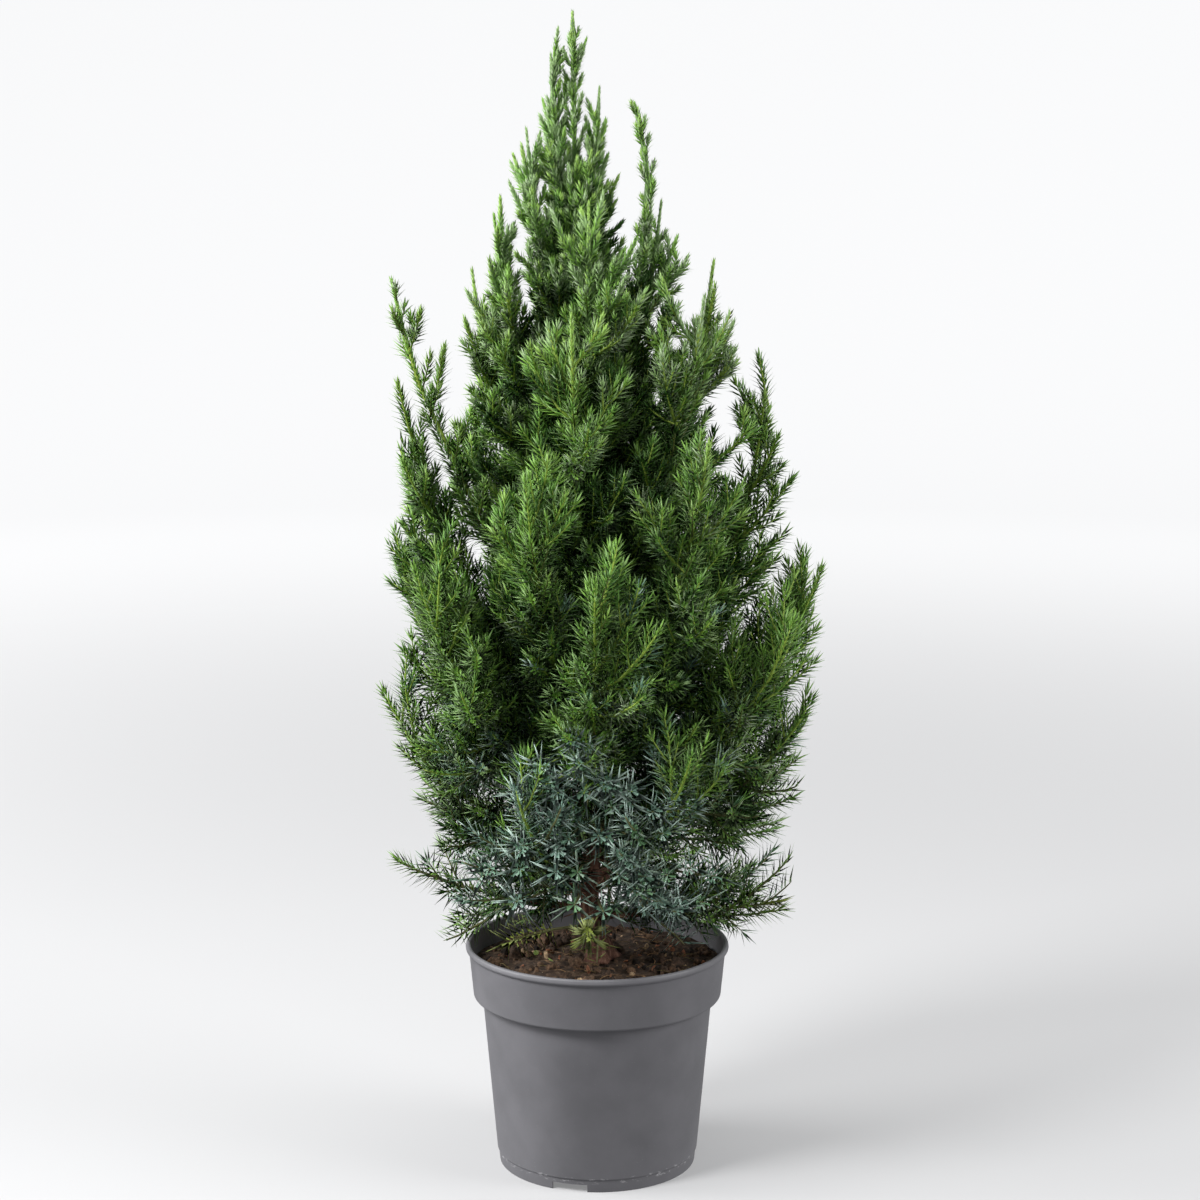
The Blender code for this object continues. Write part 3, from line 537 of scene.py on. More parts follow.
# Shares of the tones in a zone's sprays: least height, body tones and tip tones
ZONES = (
    (0.000, {"teal": 4, "steel": 2, "sea": 4, "green": 2}, {"steel": 3, "teal": 3, "sea": 2, "sage": 1}),
    (0.215, {"sea": 4, "teal": 3, "steel": 2, "sage": 3}, {"teal": 3, "green": 2, "fresh": 2, "steel": 3}),
    (0.280, {"green": 3, "fresh": 4, "sea": 2, "sage": 1}, {"green": 2, "fresh": 5, "teal": 1}),
    (0.350, {"green": 5, "deep": 2, "fresh": 3, "sage": 1}, {"fresh": 4, "green": 3, "bright": 2}),
    (0.500, {"green": 1, "fresh": 5, "sage": 5}, {"fresh": 2, "bright": 4, "sage": 5}),
    (0.620, {"sage": 5, "fresh": 4, "green": 1}, {"bright": 3, "sage": 4, "fresh": 2}),
)
ZONE_BLEND = 0.015
# Place on a stem that decides its tone, and the share of a twig from which its tip's tone holds
STEM_PLACE = 0.96
TIP_FROM = 0.74
# The lowest boughs carry yellowish needles below this height
OLIVE_BELOW = 0.190
# Low sprays that reach far to the sides are green where others are blue
SIDE_REACH = 0.050
SIDE_TONES = {"steel": "sage", "teal": "fresh"}

# Noise of the roughness: its scale, and the least and greatest roughness
ROUGHNESS = {
    "needles": (420.0, 0.36, 0.62),
    "stems": (300.0, 0.5, 0.75),
    "pot": (900.0, 0.40, 0.58),
    "paper": (3.0, 0.86, 0.94),
}
# Mottled looks: colour, roughness, noise, stops of the ramp, and strength and depth of the relief
BARK_LOOK = (
    (0.09, 0.045, 0.03),
    0.85,
    dict(scale=420.0, detail=5.0, stretch=(1.0, 1.0, 0.16), roughness=0.62),
    (
        (0.30, (0.038, 0.016, 0.010)),
        (0.48, (0.130, 0.055, 0.034)),
        (0.62, (0.240, 0.125, 0.082)),
        (0.78, (0.390, 0.260, 0.180)),
    ),
    (0.8, 0.0008),
)
SOIL_LOOK = (
    (0.03, 0.018, 0.01),
    0.95,
    dict(scale=260.0, detail=5.0, roughness=0.65),
    (
        (0.32, (0.018, 0.011, 0.007)),
        (0.50, (0.070, 0.042, 0.026)),
        (0.64, (0.160, 0.100, 0.062)),
        (0.80, (0.30, 0.22, 0.14)),
    ),
    (0.9, 0.0015),
)
DRY_STOPS = ((0.35, (0.16, 0.075, 0.045)), (0.65, (0.42, 0.27, 0.16)))
DRY_LOOK = ((0.30, 0.18, 0.10), 0.8, dict(scale=160.0), DRY_STOPS)
SEED_LEAF_STOPS = ((0.35, (0.26, 0.44, 0.06)), (0.65, (0.55, 0.68, 0.24)))
SEED_LEAF_LOOK = ((0.25, 0.40, 0.06), 0.5, dict(scale=600.0), SEED_LEAF_STOPS)

# Studio: paper sweep, and lights by azimuth, elevation, distance, size and power
STAGE_FLOOR = 3.2
STAGE_CORNER = 1.6
STAGE_WALL = 4.0
STAGE_STEPS = 12
STAGE_SEGMENTS = 96
STAGE_COLOUR = (0.425, 0.425, 0.43)
STAGE_GLOW_SPAN = (0.7, 3.0)
STAGE_GLOW = (0.21, 0.72)
STAGE_GLOW_COLOUR = (0.99, 0.995, 1.0)
LIGHT_AIM = (0.0, 0.0, 0.35)
LIGHTS = (
    ("key", 216.0, 42.0, 2.7, 0.9, 66.0),
    ("left", 180.0, 20.0, 2.5, 1.5, 58.0),
    ("right", 342.0, 22.0, 2.4, 1.3, 34.0),
    ("overhead", 50.0, 82.0, 2.0, 1.2, 12.0),
)
WORLD_COLOUR = (0.97, 0.98, 1.0)
WORLD_LIGHT = 0.31


# Meshes


def add_item(name, data):
    item = bpy.data.objects.new(name, data)
    bpy.context.scene.collection.objects.link(item)
    return item


def polygon_mesh(name, points, faces):
    mesh = bpy.data.meshes.new(name)
    mesh.from_pydata(points, [], faces)
    mesh.update()
    return mesh


def mesh_of(name, points, faces, slots=None):
    """Make a mesh of triangles from arrays of points, faces and material slots."""
    mesh = bpy.data.meshes.new(name)
    points = np.ascontiguousarray(points, dtype=np.float32)
    faces = np.ascontiguousarray(faces, dtype=np.int32)
    mesh.vertices.add(len(points))
    mesh.vertices.foreach_set("co", points.ravel())
    mesh.loops.add(faces.size)
    mesh.loops.foreach_set("vertex_index", faces.ravel())
    mesh.polygons.add(len(faces))
    mesh.polygons.foreach_set("loop_start", np.arange(0, faces.size, 3, dtype=np.int32))
    if slots is not None:
        mesh.polygons.foreach_set("material_index", np.ascontiguousarray(slots, dtype=np.int32))
    mesh.update(calc_edges=True)
    mesh.validate()
    return mesh


def add_object(name, mesh, materials, smooth=False):
    """Add a piece that rides on the plant's only body."""
    item = add_item(name, mesh)
    for material in materials:
        mesh.materials.append(material)
    if smooth:
        mesh.shade_smooth()
    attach(item, "root")
    return item


def add_piece(name, shape, materials, slots=None, smooth=False):
    """Add a piece from its points and faces, with those materials that its slots use."""
    if slots is not None:
        used, slots = np.unique(slots, return_inverse=True)
        materials = [materials[kind] for kind in used]
    return add_object(name, mesh_of(name, *shape, slots), materials, smooth)


def merged(shapes):
    """Join pairs of points and faces into one pair."""
    starts = np.cumsum([0] + [len(points) for points, _ in shapes])
    points = np.concatenate([points for points, _ in shapes])
    return points, np.concatenate([faces + start for (_, faces), start in zip(shapes, starts)])


def tube_faces(rings, sides):
    """Return the triangles between the rings of a tube."""
    faces = []
    for low in range(0, (rings - 1) * sides, sides):
        for k in range(sides):
            after = (k + 1) % sides
            faces.append((low + k, low + after, low + sides + after))
            faces.append((low + k, low + sides + after, low + sides + k))
    return faces


# Materials


def new_material(name, colour, roughness):
    material = bpy.data.materials.new(name)
    material.use_nodes = True
    shader = material.node_tree.nodes["Principled BSDF"]
    shader.inputs["Base Color"].default_value = (*colour, 1.0)
    shader.inputs["Roughness"].default_value = roughness
    return material, shader


def add_node(material, kind, **values):
    """Add a node; each value is a property or, where no property has its name, an input."""
    node = material.node_tree.nodes.new(kind)
    for key, value in values.items():
        if hasattr(node, key):
            setattr(node, key, value)
        else:
            node.inputs[key.replace("_", " ").title()].default_value = value
    return node


def join(material, source, target):
    material.node_tree.links.new(source, target)


def object_noise(material, scale, detail=3.0, stretch=(1.0, 1.0, 1.0), roughness=0.5):
    """Return the output of a noise over the object's own coordinates."""
    place = add_node(material, "ShaderNodeTexCoord")
    mapping = add_node(material, "ShaderNodeMapping", scale=stretch)
    grain = add_node(material, "ShaderNodeTexNoise", scale=scale, detail=detail, roughness=roughness)
    join(material, place.outputs["Object"], mapping.inputs["Vector"])
    join(material, mapping.outputs["Vector"], grain.inputs["Vector"])
    return grain.outputs["Fac"]


def ramp(material, source, stops):
    """Return the colour of a ramp over a value: stops are (place, colour) pairs."""
    node = add_node(material, "ShaderNodeValToRGB")
    elements = node.color_ramp.elements
    while len(elements) < len(stops):
        elements.new(0.5)
    for element, (place, colour) in zip(elements, stops):
        element.position = place
        element.color = (*colour, 1.0)
    join(material, source, node.inputs["Fac"])
    return node.outputs["Color"]


def spread(material, source, reach, values, kind="LINEAR"):
    """Return a value that runs through a pair of values over a reach of its source."""
    inputs = dict(from_min=reach[0], from_max=reach[1], to_min=values[0], to_max=values[1])
    node = add_node(material, "ShaderNodeMapRange", interpolation_type=kind, **inputs)
    join(material, source, node.inputs["Value"])
    return node.outputs["Result"]


def vary_roughness(material, shader, scale, low, high):
    """Spread the roughness from low to high over a noise, and return the noise."""
    grain = object_noise(material, scale, 2.0)
    join(material, spread(material, grain, (0.0, 1.0), (low, high)), shader.inputs["Roughness"])
    return grain


def add_bump(material, shader, source, strength, distance):
    bump = add_node(material, "ShaderNodeBump", strength=strength, distance=distance)
    join(material, source, bump.inputs["Height"])
    join(material, bump.outputs["Normal"], shader.inputs["Normal"])


def mottled(name, colour, roughness, grain, stops, bump=None):
    """Return a material whose colour, and relief where bump is given, follow a noise."""
    material, shader = new_material(name, colour, roughness)
    tone = object_noise(material, **grain)
    join(material, ramp(material, tone, stops), shader.inputs["Base Color"])
    if bump:
        add_bump(material, shader, tone, *bump)
    return material


# Crown layout, as in the source


def unit(vector):
    return vector / max(np.linalg.norm(vector), TINY)


def side_vectors(along):
    """Return two unit vectors square to a direction."""
    first = unit(np.cross(FORE if abs(along[1]) < GUIDE_LIMIT else ACROSS, along))
    return first, np.cross(along, first)


def outward_vectors(point, along):
    """Return two unit vectors square to a direction: away from the trunk, and round it."""
    out = point - trunk_place(point[2])
    out = out - along * float(np.dot(out, along))
    if np.linalg.norm(out) < AXIS_NEAR:
        return side_vectors(along)
    out = unit(out)
    return out, np.cross(along, out)


def turns_of(sides):
    return 2.0 * math.pi * np.arange(sides) / sides


def ring_points(centre, along, radius, sides, phase=0.0):
    first, second = side_vectors(along)
    turns = phase + turns_of(sides)
    return [centre + radius * (math.cos(turn) * first + math.sin(turn) * second) for turn in turns]


def curve(root, elbow, tip, share):
    """Return the point at a share of a curve that runs from its root by its elbow to its tip."""
    return (1.0 - share) ** 2 * root + 2.0 * share * (1.0 - share) * elbow + share**2 * tip


def trunk_place(height):
    heights, across, _ = zip(*TRUNK_COURSE)
    return np.array((float(np.interp(height, heights, across)), 0.0, height))


def trunk_places(heights):
    return np.array([trunk_place(height) for height in heights])


def trunk_radius(height):
    heights, _, radii = zip(*TRUNK_COURSE)
    return np.interp(height, heights, radii)


def crown_section(height):
    """Return the middle and the half width of the crown's outline at a height."""
    heights, left, right = (np.array(column) for column in zip(*CROWN_OUTLINE))
    left, right = np.interp(height, heights, left), np.interp(height, heights, right)
    return (left + right) / 2.0, (right - left) / 2.0


def crown_excess(points):
    """Return how far each point stands out of the crown's outline."""
    middle, half = crown_section(points[:, 2])
    away = np.hypot(points[:, 0] - middle, points[:, 1] / CROWN_DEPTH)
    return np.maximum(away - half, points[:, 2] - CROWN_OUTLINE[-1][0])


def crown_floor(points):
    """Return the lowest height of foliage at each point: it is higher over the front."""
    front = np.clip(-points[:, 1] / FRONT_DEPTH, 0.0, 1.0)
    aside = np.clip(np.abs(points[:, 0] - FRONT_MIDDLE) / FRONT_HALF_WIDTH, 0.0, 1.0)
    return CROWN_FLOOR + (FRONT_FLOOR - CROWN_FLOOR) * front * (1.0 - aside)


def tip_on_outline(height, turn):
    middle, half = crown_section(height)
    return np.array((middle + half * math.cos(turn), CROWN_DEPTH * half * math.sin(turn), height))


def axis_elbow(root, tip):
    """Return the middle control point of a plume's axis: it leaves outwards and turns up."""
    reach = tip - root
    level = np.array((reach[0], reach[1], 0.0))
    return root + AXIS_SHOULDER * level + AXIS_RISE * reach[2] * UP


def make_plume(name, tier, root, elbow, tip, bough, free):
    axis = curve(root, elbow, tip, np.linspace(0.0, 1.0, AXIS_STEPS + 1)[:, None])
    return dict(name=name, tier=tier, axis=axis, curve=(root, elbow, tip), bough=bough, free=free)


def plan_plumes():
    """Return every plume: its name, its axis and how much of it is bough."""
    rng = random.Random(SEED)
    root = trunk_place(TRUNK_COURSE[-1][0])
    tip = np.array(LEADER_TIP)
    plumes = [make_plume("leader", "leader", root, (root + tip) / 2.0, tip, 0.0, True)]
    for tier, count, tip_height, stagger, root_height, first_turn, bough in TIERS:
        for k in range(count):
            turn = math.radians(first_turn + 360.0 * k / count + rng.uniform(-TURN_JITTER, TURN_JITTER))
            height = tip_height + stagger * TIP_STAGGERS[k % len(TIP_STAGGERS)]
            root = trunk_place(root_height + stagger * ROOT_STAGGERS[k % len(ROOT_STAGGERS)])
            tip = np.array(NAMED_TIPS.get((tier, k), tip_on_outline(height, turn)))
            free = (tier, k) in OUTLIERS
            plumes.append(make_plume(f"{tier}_{k + 1}", tier, root, axis_elbow(root, tip), tip, bough, free))
    return plumes


def lengths_along(axis):
    steps = np.linalg.norm(np.diff(axis, axis=0), axis=1)
    return np.concatenate(((0.0,), np.cumsum(steps)))


def place_on(axis, share):
    """Return the point and the direction at a share of an axis's length."""
    runs = lengths_along(axis)
    run = share * runs[-1]
    point = np.array([np.interp(run, runs, axis[:, k]) for k in range(3)])
    index = int(np.clip(np.searchsorted(runs, run) - 1, 0, len(axis) - 2))
    before = unit(axis[index + 1] - axis[index])
    other = min(index + 1, len(axis) - 2)
    after = unit(axis[other + 1] - axis[other])
    part = (run - runs[index]) / max(runs[index + 1] - runs[index], TINY)
    return point, unit(before + (after - before) * part)


def distances(points, starts, ends):
    """Return the distance from each point to each row of axis pieces."""
    along = ends - starts
    offset = points[:, None, None, :] - starts[None]
    share = np.clip((offset * along).sum(-1) / (along * along).sum(-1), 0.0, 1.0)
    return np.linalg.norm(offset - share[..., None] * along, axis=-1).min(-1)


class Spaces:
    """The crown's space, shared out to the plume whose axis lies nearest."""

    CHUNK = 3000

    def __init__(self, plumes):
        axes = np.array([plume["axis"] for plume in plumes])
        course = trunk_places(row[0] for row in TRUNK_COURSE)
        self.axes = axes[:, :-1], axes[:, 1:]
        self.trunk = course[None, :-1], course[None, 1:]
        self.free = np.array([plume["free"] for plume in plumes])

    def reach(self, points):
        """Return the distance from each point to each plume's axis."""
        return distances(points, *self.axes)

    def nearest(self, points):
        return self.reach(points).argmin(1)

    def room(self, points, own):
        """Return how far each point lies inside the space of its plume."""
        own = np.broadcast_to(own, len(points))
        result = np.empty(len(points))
        for first in range(0, len(points), self.CHUNK):
            part = slice(first, first + self.CHUNK)
            reach = self.reach(points[part])
            rows = np.arange(len(reach))
            mine = reach[rows, own[part]].copy()
            reach[rows, own[part]] = np.inf
            result[part] = (reach.min(-1) - mine) / 2.0
        return result

    def trunk_room(self, points):
        """Return how far each point lies off the trunk's surface."""
        return distances(points, *self.trunk)[:, 0] - trunk_radius(points[:, 2])


def clear_start(axis, radius, sides, spaces):
    """Return the share of an axis where a limb's end is one gap clear of the trunk."""
    for share in np.arange(0.0, START_LIMIT, START_STEP):
        ring = np.array(ring_points(*place_on(axis, share), radius, sides))
        middles = (ring + np.roll(ring, 1, axis=0)) / 2.0
        if spaces.trunk_room(np.concatenate((ring, middles))).min() >= GAP:
            return float(share)
    return START_LIMIT


def mass_start(plume, spaces):
    """Return the share of the plume's axis where its mass begins."""
    length = lengths_along(plume["axis"])[-1]
    if plume["bough"]:
        return plume["bough"] + GAP / length
    if plume["name"] == "leader":
        return GAP / length
    return clear_start(plume["axis"], STEM_ROOT_RADIUS, STEM_SIDES, spaces)


def fits(points, plume, own, spaces):
    """Tell whether points keep to the mass's space, the crown and clear of the limbs."""
    if spaces.room(points, own).min() < SPACE_MARGIN:
        return False
    if spaces.trunk_room(points).min() < SPACE_MARGIN:
        return False
    if (points[:, 2] < crown_floor(points)).any() or points[:, 2].max() > LEADER_TIP[2]:
        return False
    return plume["free"] or crown_excess(points).max() < CROWN_TOLERANCE


def branch_reach_points(root, along, length, phase):
    """Return the outermost points of a side branch, as the source shapes it."""
    girth = min(BRANCH_GIRTH * length, BRANCH_MOST_GIRTH)
    centres = [root + along * length * share for share, _ in BRANCH_RINGS]
    rings = [ring_points(c, along, part * girth, 3, phase) for c, (_, part) in zip(centres, BRANCH_RINGS)]
    reach = min(NEEDLE_REACH, BRANCH_NEEDLE_REACH * length)
    middle = (centres[0] + centres[1]) / 2.0
    points = rings[0] + rings[1] + [root + along * length]
    for k in range(3):
        after = (k + 1) % 3
        face = (rings[0][k] + rings[0][after] + rings[1][after] + rings[1][k]) / 4.0
        outward = face - middle
        outward = unit(outward - along * float(np.dot(outward, along)))
        points.append(face + outward * reach + along * BRANCH_NEEDLE_TILT * reach)
    return np.array(points)


def keeps_apart(root, tip, grown):
    """Tell whether a side branch keeps clear of those that its mass has already."""
    if not grown:
        return True
    starts, ends = (np.array(column) for column in zip(*grown))
    points = root + np.linspace(BRANCH_APART_FROM, 1.0, 4)[:, None] * (tip - root)
    return distances(points, starts[:, None], ends[:, None]).min() > BRANCH_APART


def longest_branch(root, direction, reach, turn, grown, plume, own, spaces):
    """Return the share of its full reach that a side branch has room for, and its ends."""
    for share in BRANCH_SHARES:
        tip = root + direction * reach * share
        if not keeps_apart(root, tip, grown):
            continue
        if fits(branch_reach_points(root, direction, reach * share, turn), plume, own, spaces):
            return share, (root, tip)
    return 0.0, None


def grow_branches(plume, own, start, spaces):
    """Return the roots and tips of a mass's side branches: each grows to where it has most room."""
    rng = random.Random(f"{SEED} {plume['name']}")
    axis = plume["axis"]
    length = lengths_along(axis)[-1] * (1.0 - start)
    count = max(3, round(length * (BRANCH_END - BRANCH_START) / BRANCH_PITCH))
    grown = []
    for k in range(count):
        part = BRANCH_START + (BRANCH_END - BRANCH_START) * (k + 0.5) / count
        root, along = place_on(axis, start + (1.0 - start) * part)
        out, aside = outward_vectors(root, along)
        lean = BRANCH_LEAN_LOW + (BRANCH_LEAN_HIGH - BRANCH_LEAN_LOW) * part
        lean = math.radians(lean + rng.uniform(-BRANCH_LEAN_JITTER, BRANCH_LEAN_JITTER))
        reach = BRANCH_REACH * (1.0 - BRANCH_TAPER * part) * rng.uniform(*BRANCH_VARIES)
        if plume["free"]:
            reach *= OUTLIER_REACH
        best = (0.0, None)
        for attempt in range(BRANCH_TRIES):
            turn = math.radians(GOLDEN_TURN * k + 360.0 * attempt / BRANCH_TRIES)
            outward = math.cos(turn) * out + math.sin(turn) * aside
            direction = unit(along * math.cos(lean) + outward * math.sin(lean))
            found = longest_branch(root, direction, reach, turn, grown, plume, own, spaces)
            if found[0] > best[0]:
                best = found
        if best[1] is not None:
            grown.append(best[1])
    return grown


# Finer growth


def by_height(table, heights):
    places, values = zip(*table)
    return np.interp(heights, places, values)


def unit_rows(vectors):
    return vectors / np.maximum(np.linalg.norm(vectors, axis=1, keepdims=True), TINY)


def side_rows(along):
    """Return two unit vectors square to each direction."""
    guide = np.where(np.abs(along[:, 1:2]) < GUIDE_LIMIT, FORE, ACROSS)
    first = unit_rows(np.cross(guide, along))
    return first, np.cross(along, first)


def turned_sideways(along, turn):
    """Return a unit vector square to each direction, at a turn round it."""
    one, other = side_rows(along)
    return np.cos(turn)[:, None] * one + np.sin(turn)[:, None] * other


def numbered(counts):
    """Return the row of each item and its number within its row."""
    rows = np.repeat(np.arange(len(counts)), counts)
    return rows, np.arange(len(rows)) - np.repeat(np.cumsum(counts) - counts, counts)


def two_legs(root, start, end, size):
    """Return the elbows and tips of twigs that set out one way and end another."""
    elbow = root + 0.5 * size * start
    return elbow, elbow + 0.5 * size * end


class Twigs:
    """Rows of twigs. Each is a curve from root past elbow to tip, in one plume's space."""

    FIELDS = ("root", "elbow", "tip", "own", "order", "bare")

    def __init__(self, root, elbow, tip, own, order, bare):
        self.root, self.elbow, self.tip, self.own = map(np.asarray, (root, elbow, tip, own))
        self.order = np.broadcast_to(order, len(self.own))
        self.bare = np.broadcast_to(bare, len(self.own))

    @staticmethod
    def joined(parts):
        return Twigs(*(np.concatenate([getattr(part, name) for part in parts]) for name in Twigs.FIELDS))

    def take(self, rows):
        return Twigs(*(getattr(self, name)[rows] for name in self.FIELDS))

    def lengths(self):
        legs = np.linalg.norm(self.elbow - self.root, axis=1) + np.linalg.norm(self.tip - self.elbow, axis=1)
        chord = np.linalg.norm(self.tip - self.root, axis=1)
        return (2.0 * chord + legs) / 3.0

    def points(self, rows, share):
        return curve(self.root[rows], self.elbow[rows], self.tip[rows], share[:, None])

    def headings(self, rows, share):
        share = share[:, None]
        first = self.elbow[rows] - self.root[rows]
        second = self.tip[rows] - self.elbow[rows]
        return unit_rows((1.0 - share) * first + share * second)

    def places(self, share):
        """Return the point at a share of each twig."""
        rows = np.arange(len(self.own))
        return self.points(rows, np.broadcast_to(share, len(rows)))


def plume_stems(plumes, starts):
    """Return the plumes' axes as twigs, each from where its mass begins."""
    root, elbow, tip = (np.array(column) for column in zip(*(plume["curve"] for plume in plumes)))
    begin = np.array(starts)[:, None]
    first = curve(root, elbow, tip, begin)
    second = (1.0 - begin) * elbow + begin * tip
    return Twigs(first, second, tip, np.arange(len(plumes)), STEM, by_height(BARE_STEM, root[:, 2]))


def covered_trunk():
    """Return the top of the trunk as a twig of the leader, because needles cover it there."""
    low, high = trunk_place(COVERED_FROM), trunk_place(TRUNK_COURSE[-1][0])
    return Twigs([low], [(low + high) / 2.0], [high], [0], COVER, 0.0)


def trunk_shoots(spaces, rng):
    """Return short shoots all round the trunk, which fill the crown's dark middle."""
    count = TRUNK_SHOOTS
    low, high = TRUNK_SHOOT_SPAN
    height = low + (high - low) * np.linspace(0.0, 1.0, count) ** TRUNK_SHOOT_CROWDING
    height += rng.uniform(-TRUNK_SHOOT_JITTER, TRUNK_SHOOT_JITTER, count)
    turn = math.radians(GOLDEN_TURN) * np.arange(count)
    jitter = rng.uniform(-TRUNK_SHOOT_LEAN_JITTER, TRUNK_SHOOT_LEAN_JITTER, count)
    lean = np.radians(by_height(TRUNK_SHOOT_LEAN, height) + jitter)
    start = np.stack((np.sin(lean) * np.cos(turn), np.sin(lean) * np.sin(turn), np.cos(lean)), axis=1)
    end = unit_rows(start + TRUNK_SHOOT_LIFT * UP)
    size = (by_height(TRUNK_SHOOT_LENGTH, height) * rng.uniform(*TRUNK_SHOOT_VARIES, count))[:, None]
    root = trunk_places(height) + start * TRUNK_SHOOT_ROOT * trunk_radius(height)[:, None]
    elbow, tip = two_legs(root, start, end, size)
    shoots = Twigs(root, elbow, tip, spaces.nearest(tip), BRANCH, BARE_PARTS["trunk shoot"])
    return shoots.take(np.flatnonzero((tip[:, 2] > crown_floor(tip)) & (elbow[:, 2] > crown_floor(elbow))))


def front_stars(spaces, rng):
    """Return twigs that point out of the crown's low front, so that their needles show as stars."""
    more = zip(*(rng.uniform(*span, STAR_COUNT) for span in STAR_SPAN))
    across, height = np.array([*STARS, *more]).T
    _, reach = crown_section(height)
    depth = -STAR_DEPTH * CROWN_DEPTH * np.sqrt(reach**2 - across**2)
    tip = np.stack((across, depth, height), axis=1)
    foot = trunk_places(height - STAR_DROP)
    root = foot + STAR_ROOT * (tip - foot)
    elbow = (root + tip) / 2.0 - STAR_SAG * UP
    return Twigs(root, elbow, tip, spaces.nearest(tip), FOOT, STAR_BARE)


def foot_twigs(own):
    """Return the small twigs round the trunk's foot, which go with one of the lowest masses."""
    root, tip = (np.array(ends) for ends in zip(*FOOT_TWIGS))
    elbow = (root + tip) / 2.0 + FOOT_RISE * UP
    return Twigs(root, elbow, tip, [own] * len(root), FOOT, BARE_PARTS["foot"])


def source_branches(plumes, starts, spaces):
    """Return the source's side branches as twigs that sag a little and turn up."""
    grown = [grow_branches(plume, own, starts[own], spaces) for own, plume in enumerate(plumes)]
    owns = np.repeat(np.arange(len(plumes)), [len(ends) for ends in grown])
    root, tip = (np.array(column) for column in zip(*(pair for ends in grown for pair in ends)))
    tip = np.where(spaces.free[owns][:, None], root + OUTLIER_BRANCHES * (tip - root), tip)
    length = np.linalg.norm(tip - root, axis=1, keepdims=True)
    sag = length * by_height(LIMB_SAG, root[:, 2])[:, None]
    return Twigs(root, (root + tip) / 2.0 - sag * UP, tip, owns, BRANCH, BARE_PARTS["branch"])


def edge_shoots(plumes, spaces, rng):
    """Return shoots from the plumes' axes to the tips that mark the crown's edge."""
    outlier = [plume["name"] for plume in plumes].index(LEFT_OUTLIER)
    roots, tips, owns = [], [], []
    for across, height in EDGE_TIPS + OUTLIER_TIPS:
        depth = rng.uniform(-EDGE_DEPTH, EDGE_DEPTH) * min(abs(across), EDGE_MOST_DEPTH)
        tip = np.array((across - math.copysign(EDGE_PULL, across), depth, height))
        reach = spaces.reach(tip[None])[0]
        reach[spaces.free] = np.inf
        own = outlier if (across, height) in OUTLIER_TIPS else int(np.argmin(reach))
        axis = plumes[own]["axis"]
        wanted = math.radians(by_height(EDGE_LEAN, height))
        away = tip - axis
        run = np.linalg.norm(away, axis=1) + 1e-9
        lean = np.arccos(np.clip(away[:, 2] / run, -1.0, 1.0))
        wrong_length = np.abs(run - by_height(EDGE_LENGTH, height))
        roots.append(axis[int(np.argmin(np.abs(lean - wanted) + EDGE_LENGTH_WEIGHT * wrong_length))])
        tips.append(tip)
        owns.append(own)
    root, tip = np.array(roots), np.array(tips)
    sag = EDGE_SAG * np.linalg.norm(tip - root, axis=1, keepdims=True)
    return Twigs(root, (root + tip) / 2.0 - sag * UP, tip, np.array(owns), EDGE, BARE_PARTS["edge"])


def sprout(parents, growth, spaces, rng):
    """Grow side twigs along the parents by golden turns, each cut back until it fits."""
    first, last, pitch, length, full, loss, order = growth
    run = parents.lengths() * (last - first)
    pitches = by_height(pitch, parents.places(0.5)[:, 2])
    count = np.floor(run / pitches + rng.uniform(*COUNT_VARIES, len(run))).astype(int)
    rows, place = numbered(count)
    share = first + (last - first) * (place + rng.uniform(*PLACE_VARIES, len(rows))) / count[rows]
    root = parents.points(rows, share)
    along = parents.headings(rows, share)
    height = root[:, 2]
    phase = rng.uniform(0.0, 2.0 * math.pi, len(run))[rows]
    out = turned_sideways(along, phase + math.radians(GOLDEN_TURN) * place)
    own = parents.own[rows]
    free = spaces.free[own]
    steeper = np.where(free, OUTLIER_TWIG_LEAN, 1.0)
    slim = np.where(free, by_height(OUTLIER_TWIG_LENGTH, height), 1.0)
    lean = steeper * (by_height(TWIG_LEAN, height) * (TWIG_LEAN_FACTOR[0] - TWIG_LEAN_FACTOR[1] * share))
    lean = np.radians(lean + rng.uniform(-TWIG_LEAN_JITTER, TWIG_LEAN_JITTER, len(rows)))[:, None]
    lift = by_height(TWIG_LIFT, height)[:, None] * UP
    start = unit_rows(along * np.cos(lean) + out * np.sin(lean) + TWIG_FIRST_LIFT * lift)
    end = unit_rows(start + lift)
    wish = slim * (by_height(length, height) * (full - loss * share)) * rng.uniform(*TWIG_VARIES, len(rows))
    limit = -by_height(LOOK_INSET, height) - by_height(LOOK_SPREAD, height) * rng.random(len(rows))
    least = by_height(TWIG_LEAST, height)
    size = np.zeros(len(rows))
    for factor in FILLER_SHARES:
        trial = np.flatnonzero((size == 0.0) & (wish * factor > least))
        elbow, tip = two_legs(root[trial], start[trial], end[trial], (wish[trial] * factor)[:, None])
        good = np.ones(len(trial), dtype=bool)
        for points in (tip, (elbow + tip) / 2.0):
            good &= points[:, 2] > crown_floor(points)
            good &= points[:, 2] < LEADER_TIP[2] - TOP_ROOM
            good &= free[trial] | (crown_excess(points) < limit[trial])
            good &= spaces.trunk_room(points) > SHOOT_TRUNK_ROOM
        good[good] = spaces.room(tip[good], own[trial][good]) > PLUME_ROOM
        fitting = trial[good]
        size[fitting] = wish[fitting] * factor
    kept = np.flatnonzero(size)
    elbow, tip = two_legs(root[kept], start[kept], end[kept], size[kept][:, None])
    return Twigs(root[kept], elbow, tip, own[kept], order, BARE_PARTS["side twig"])


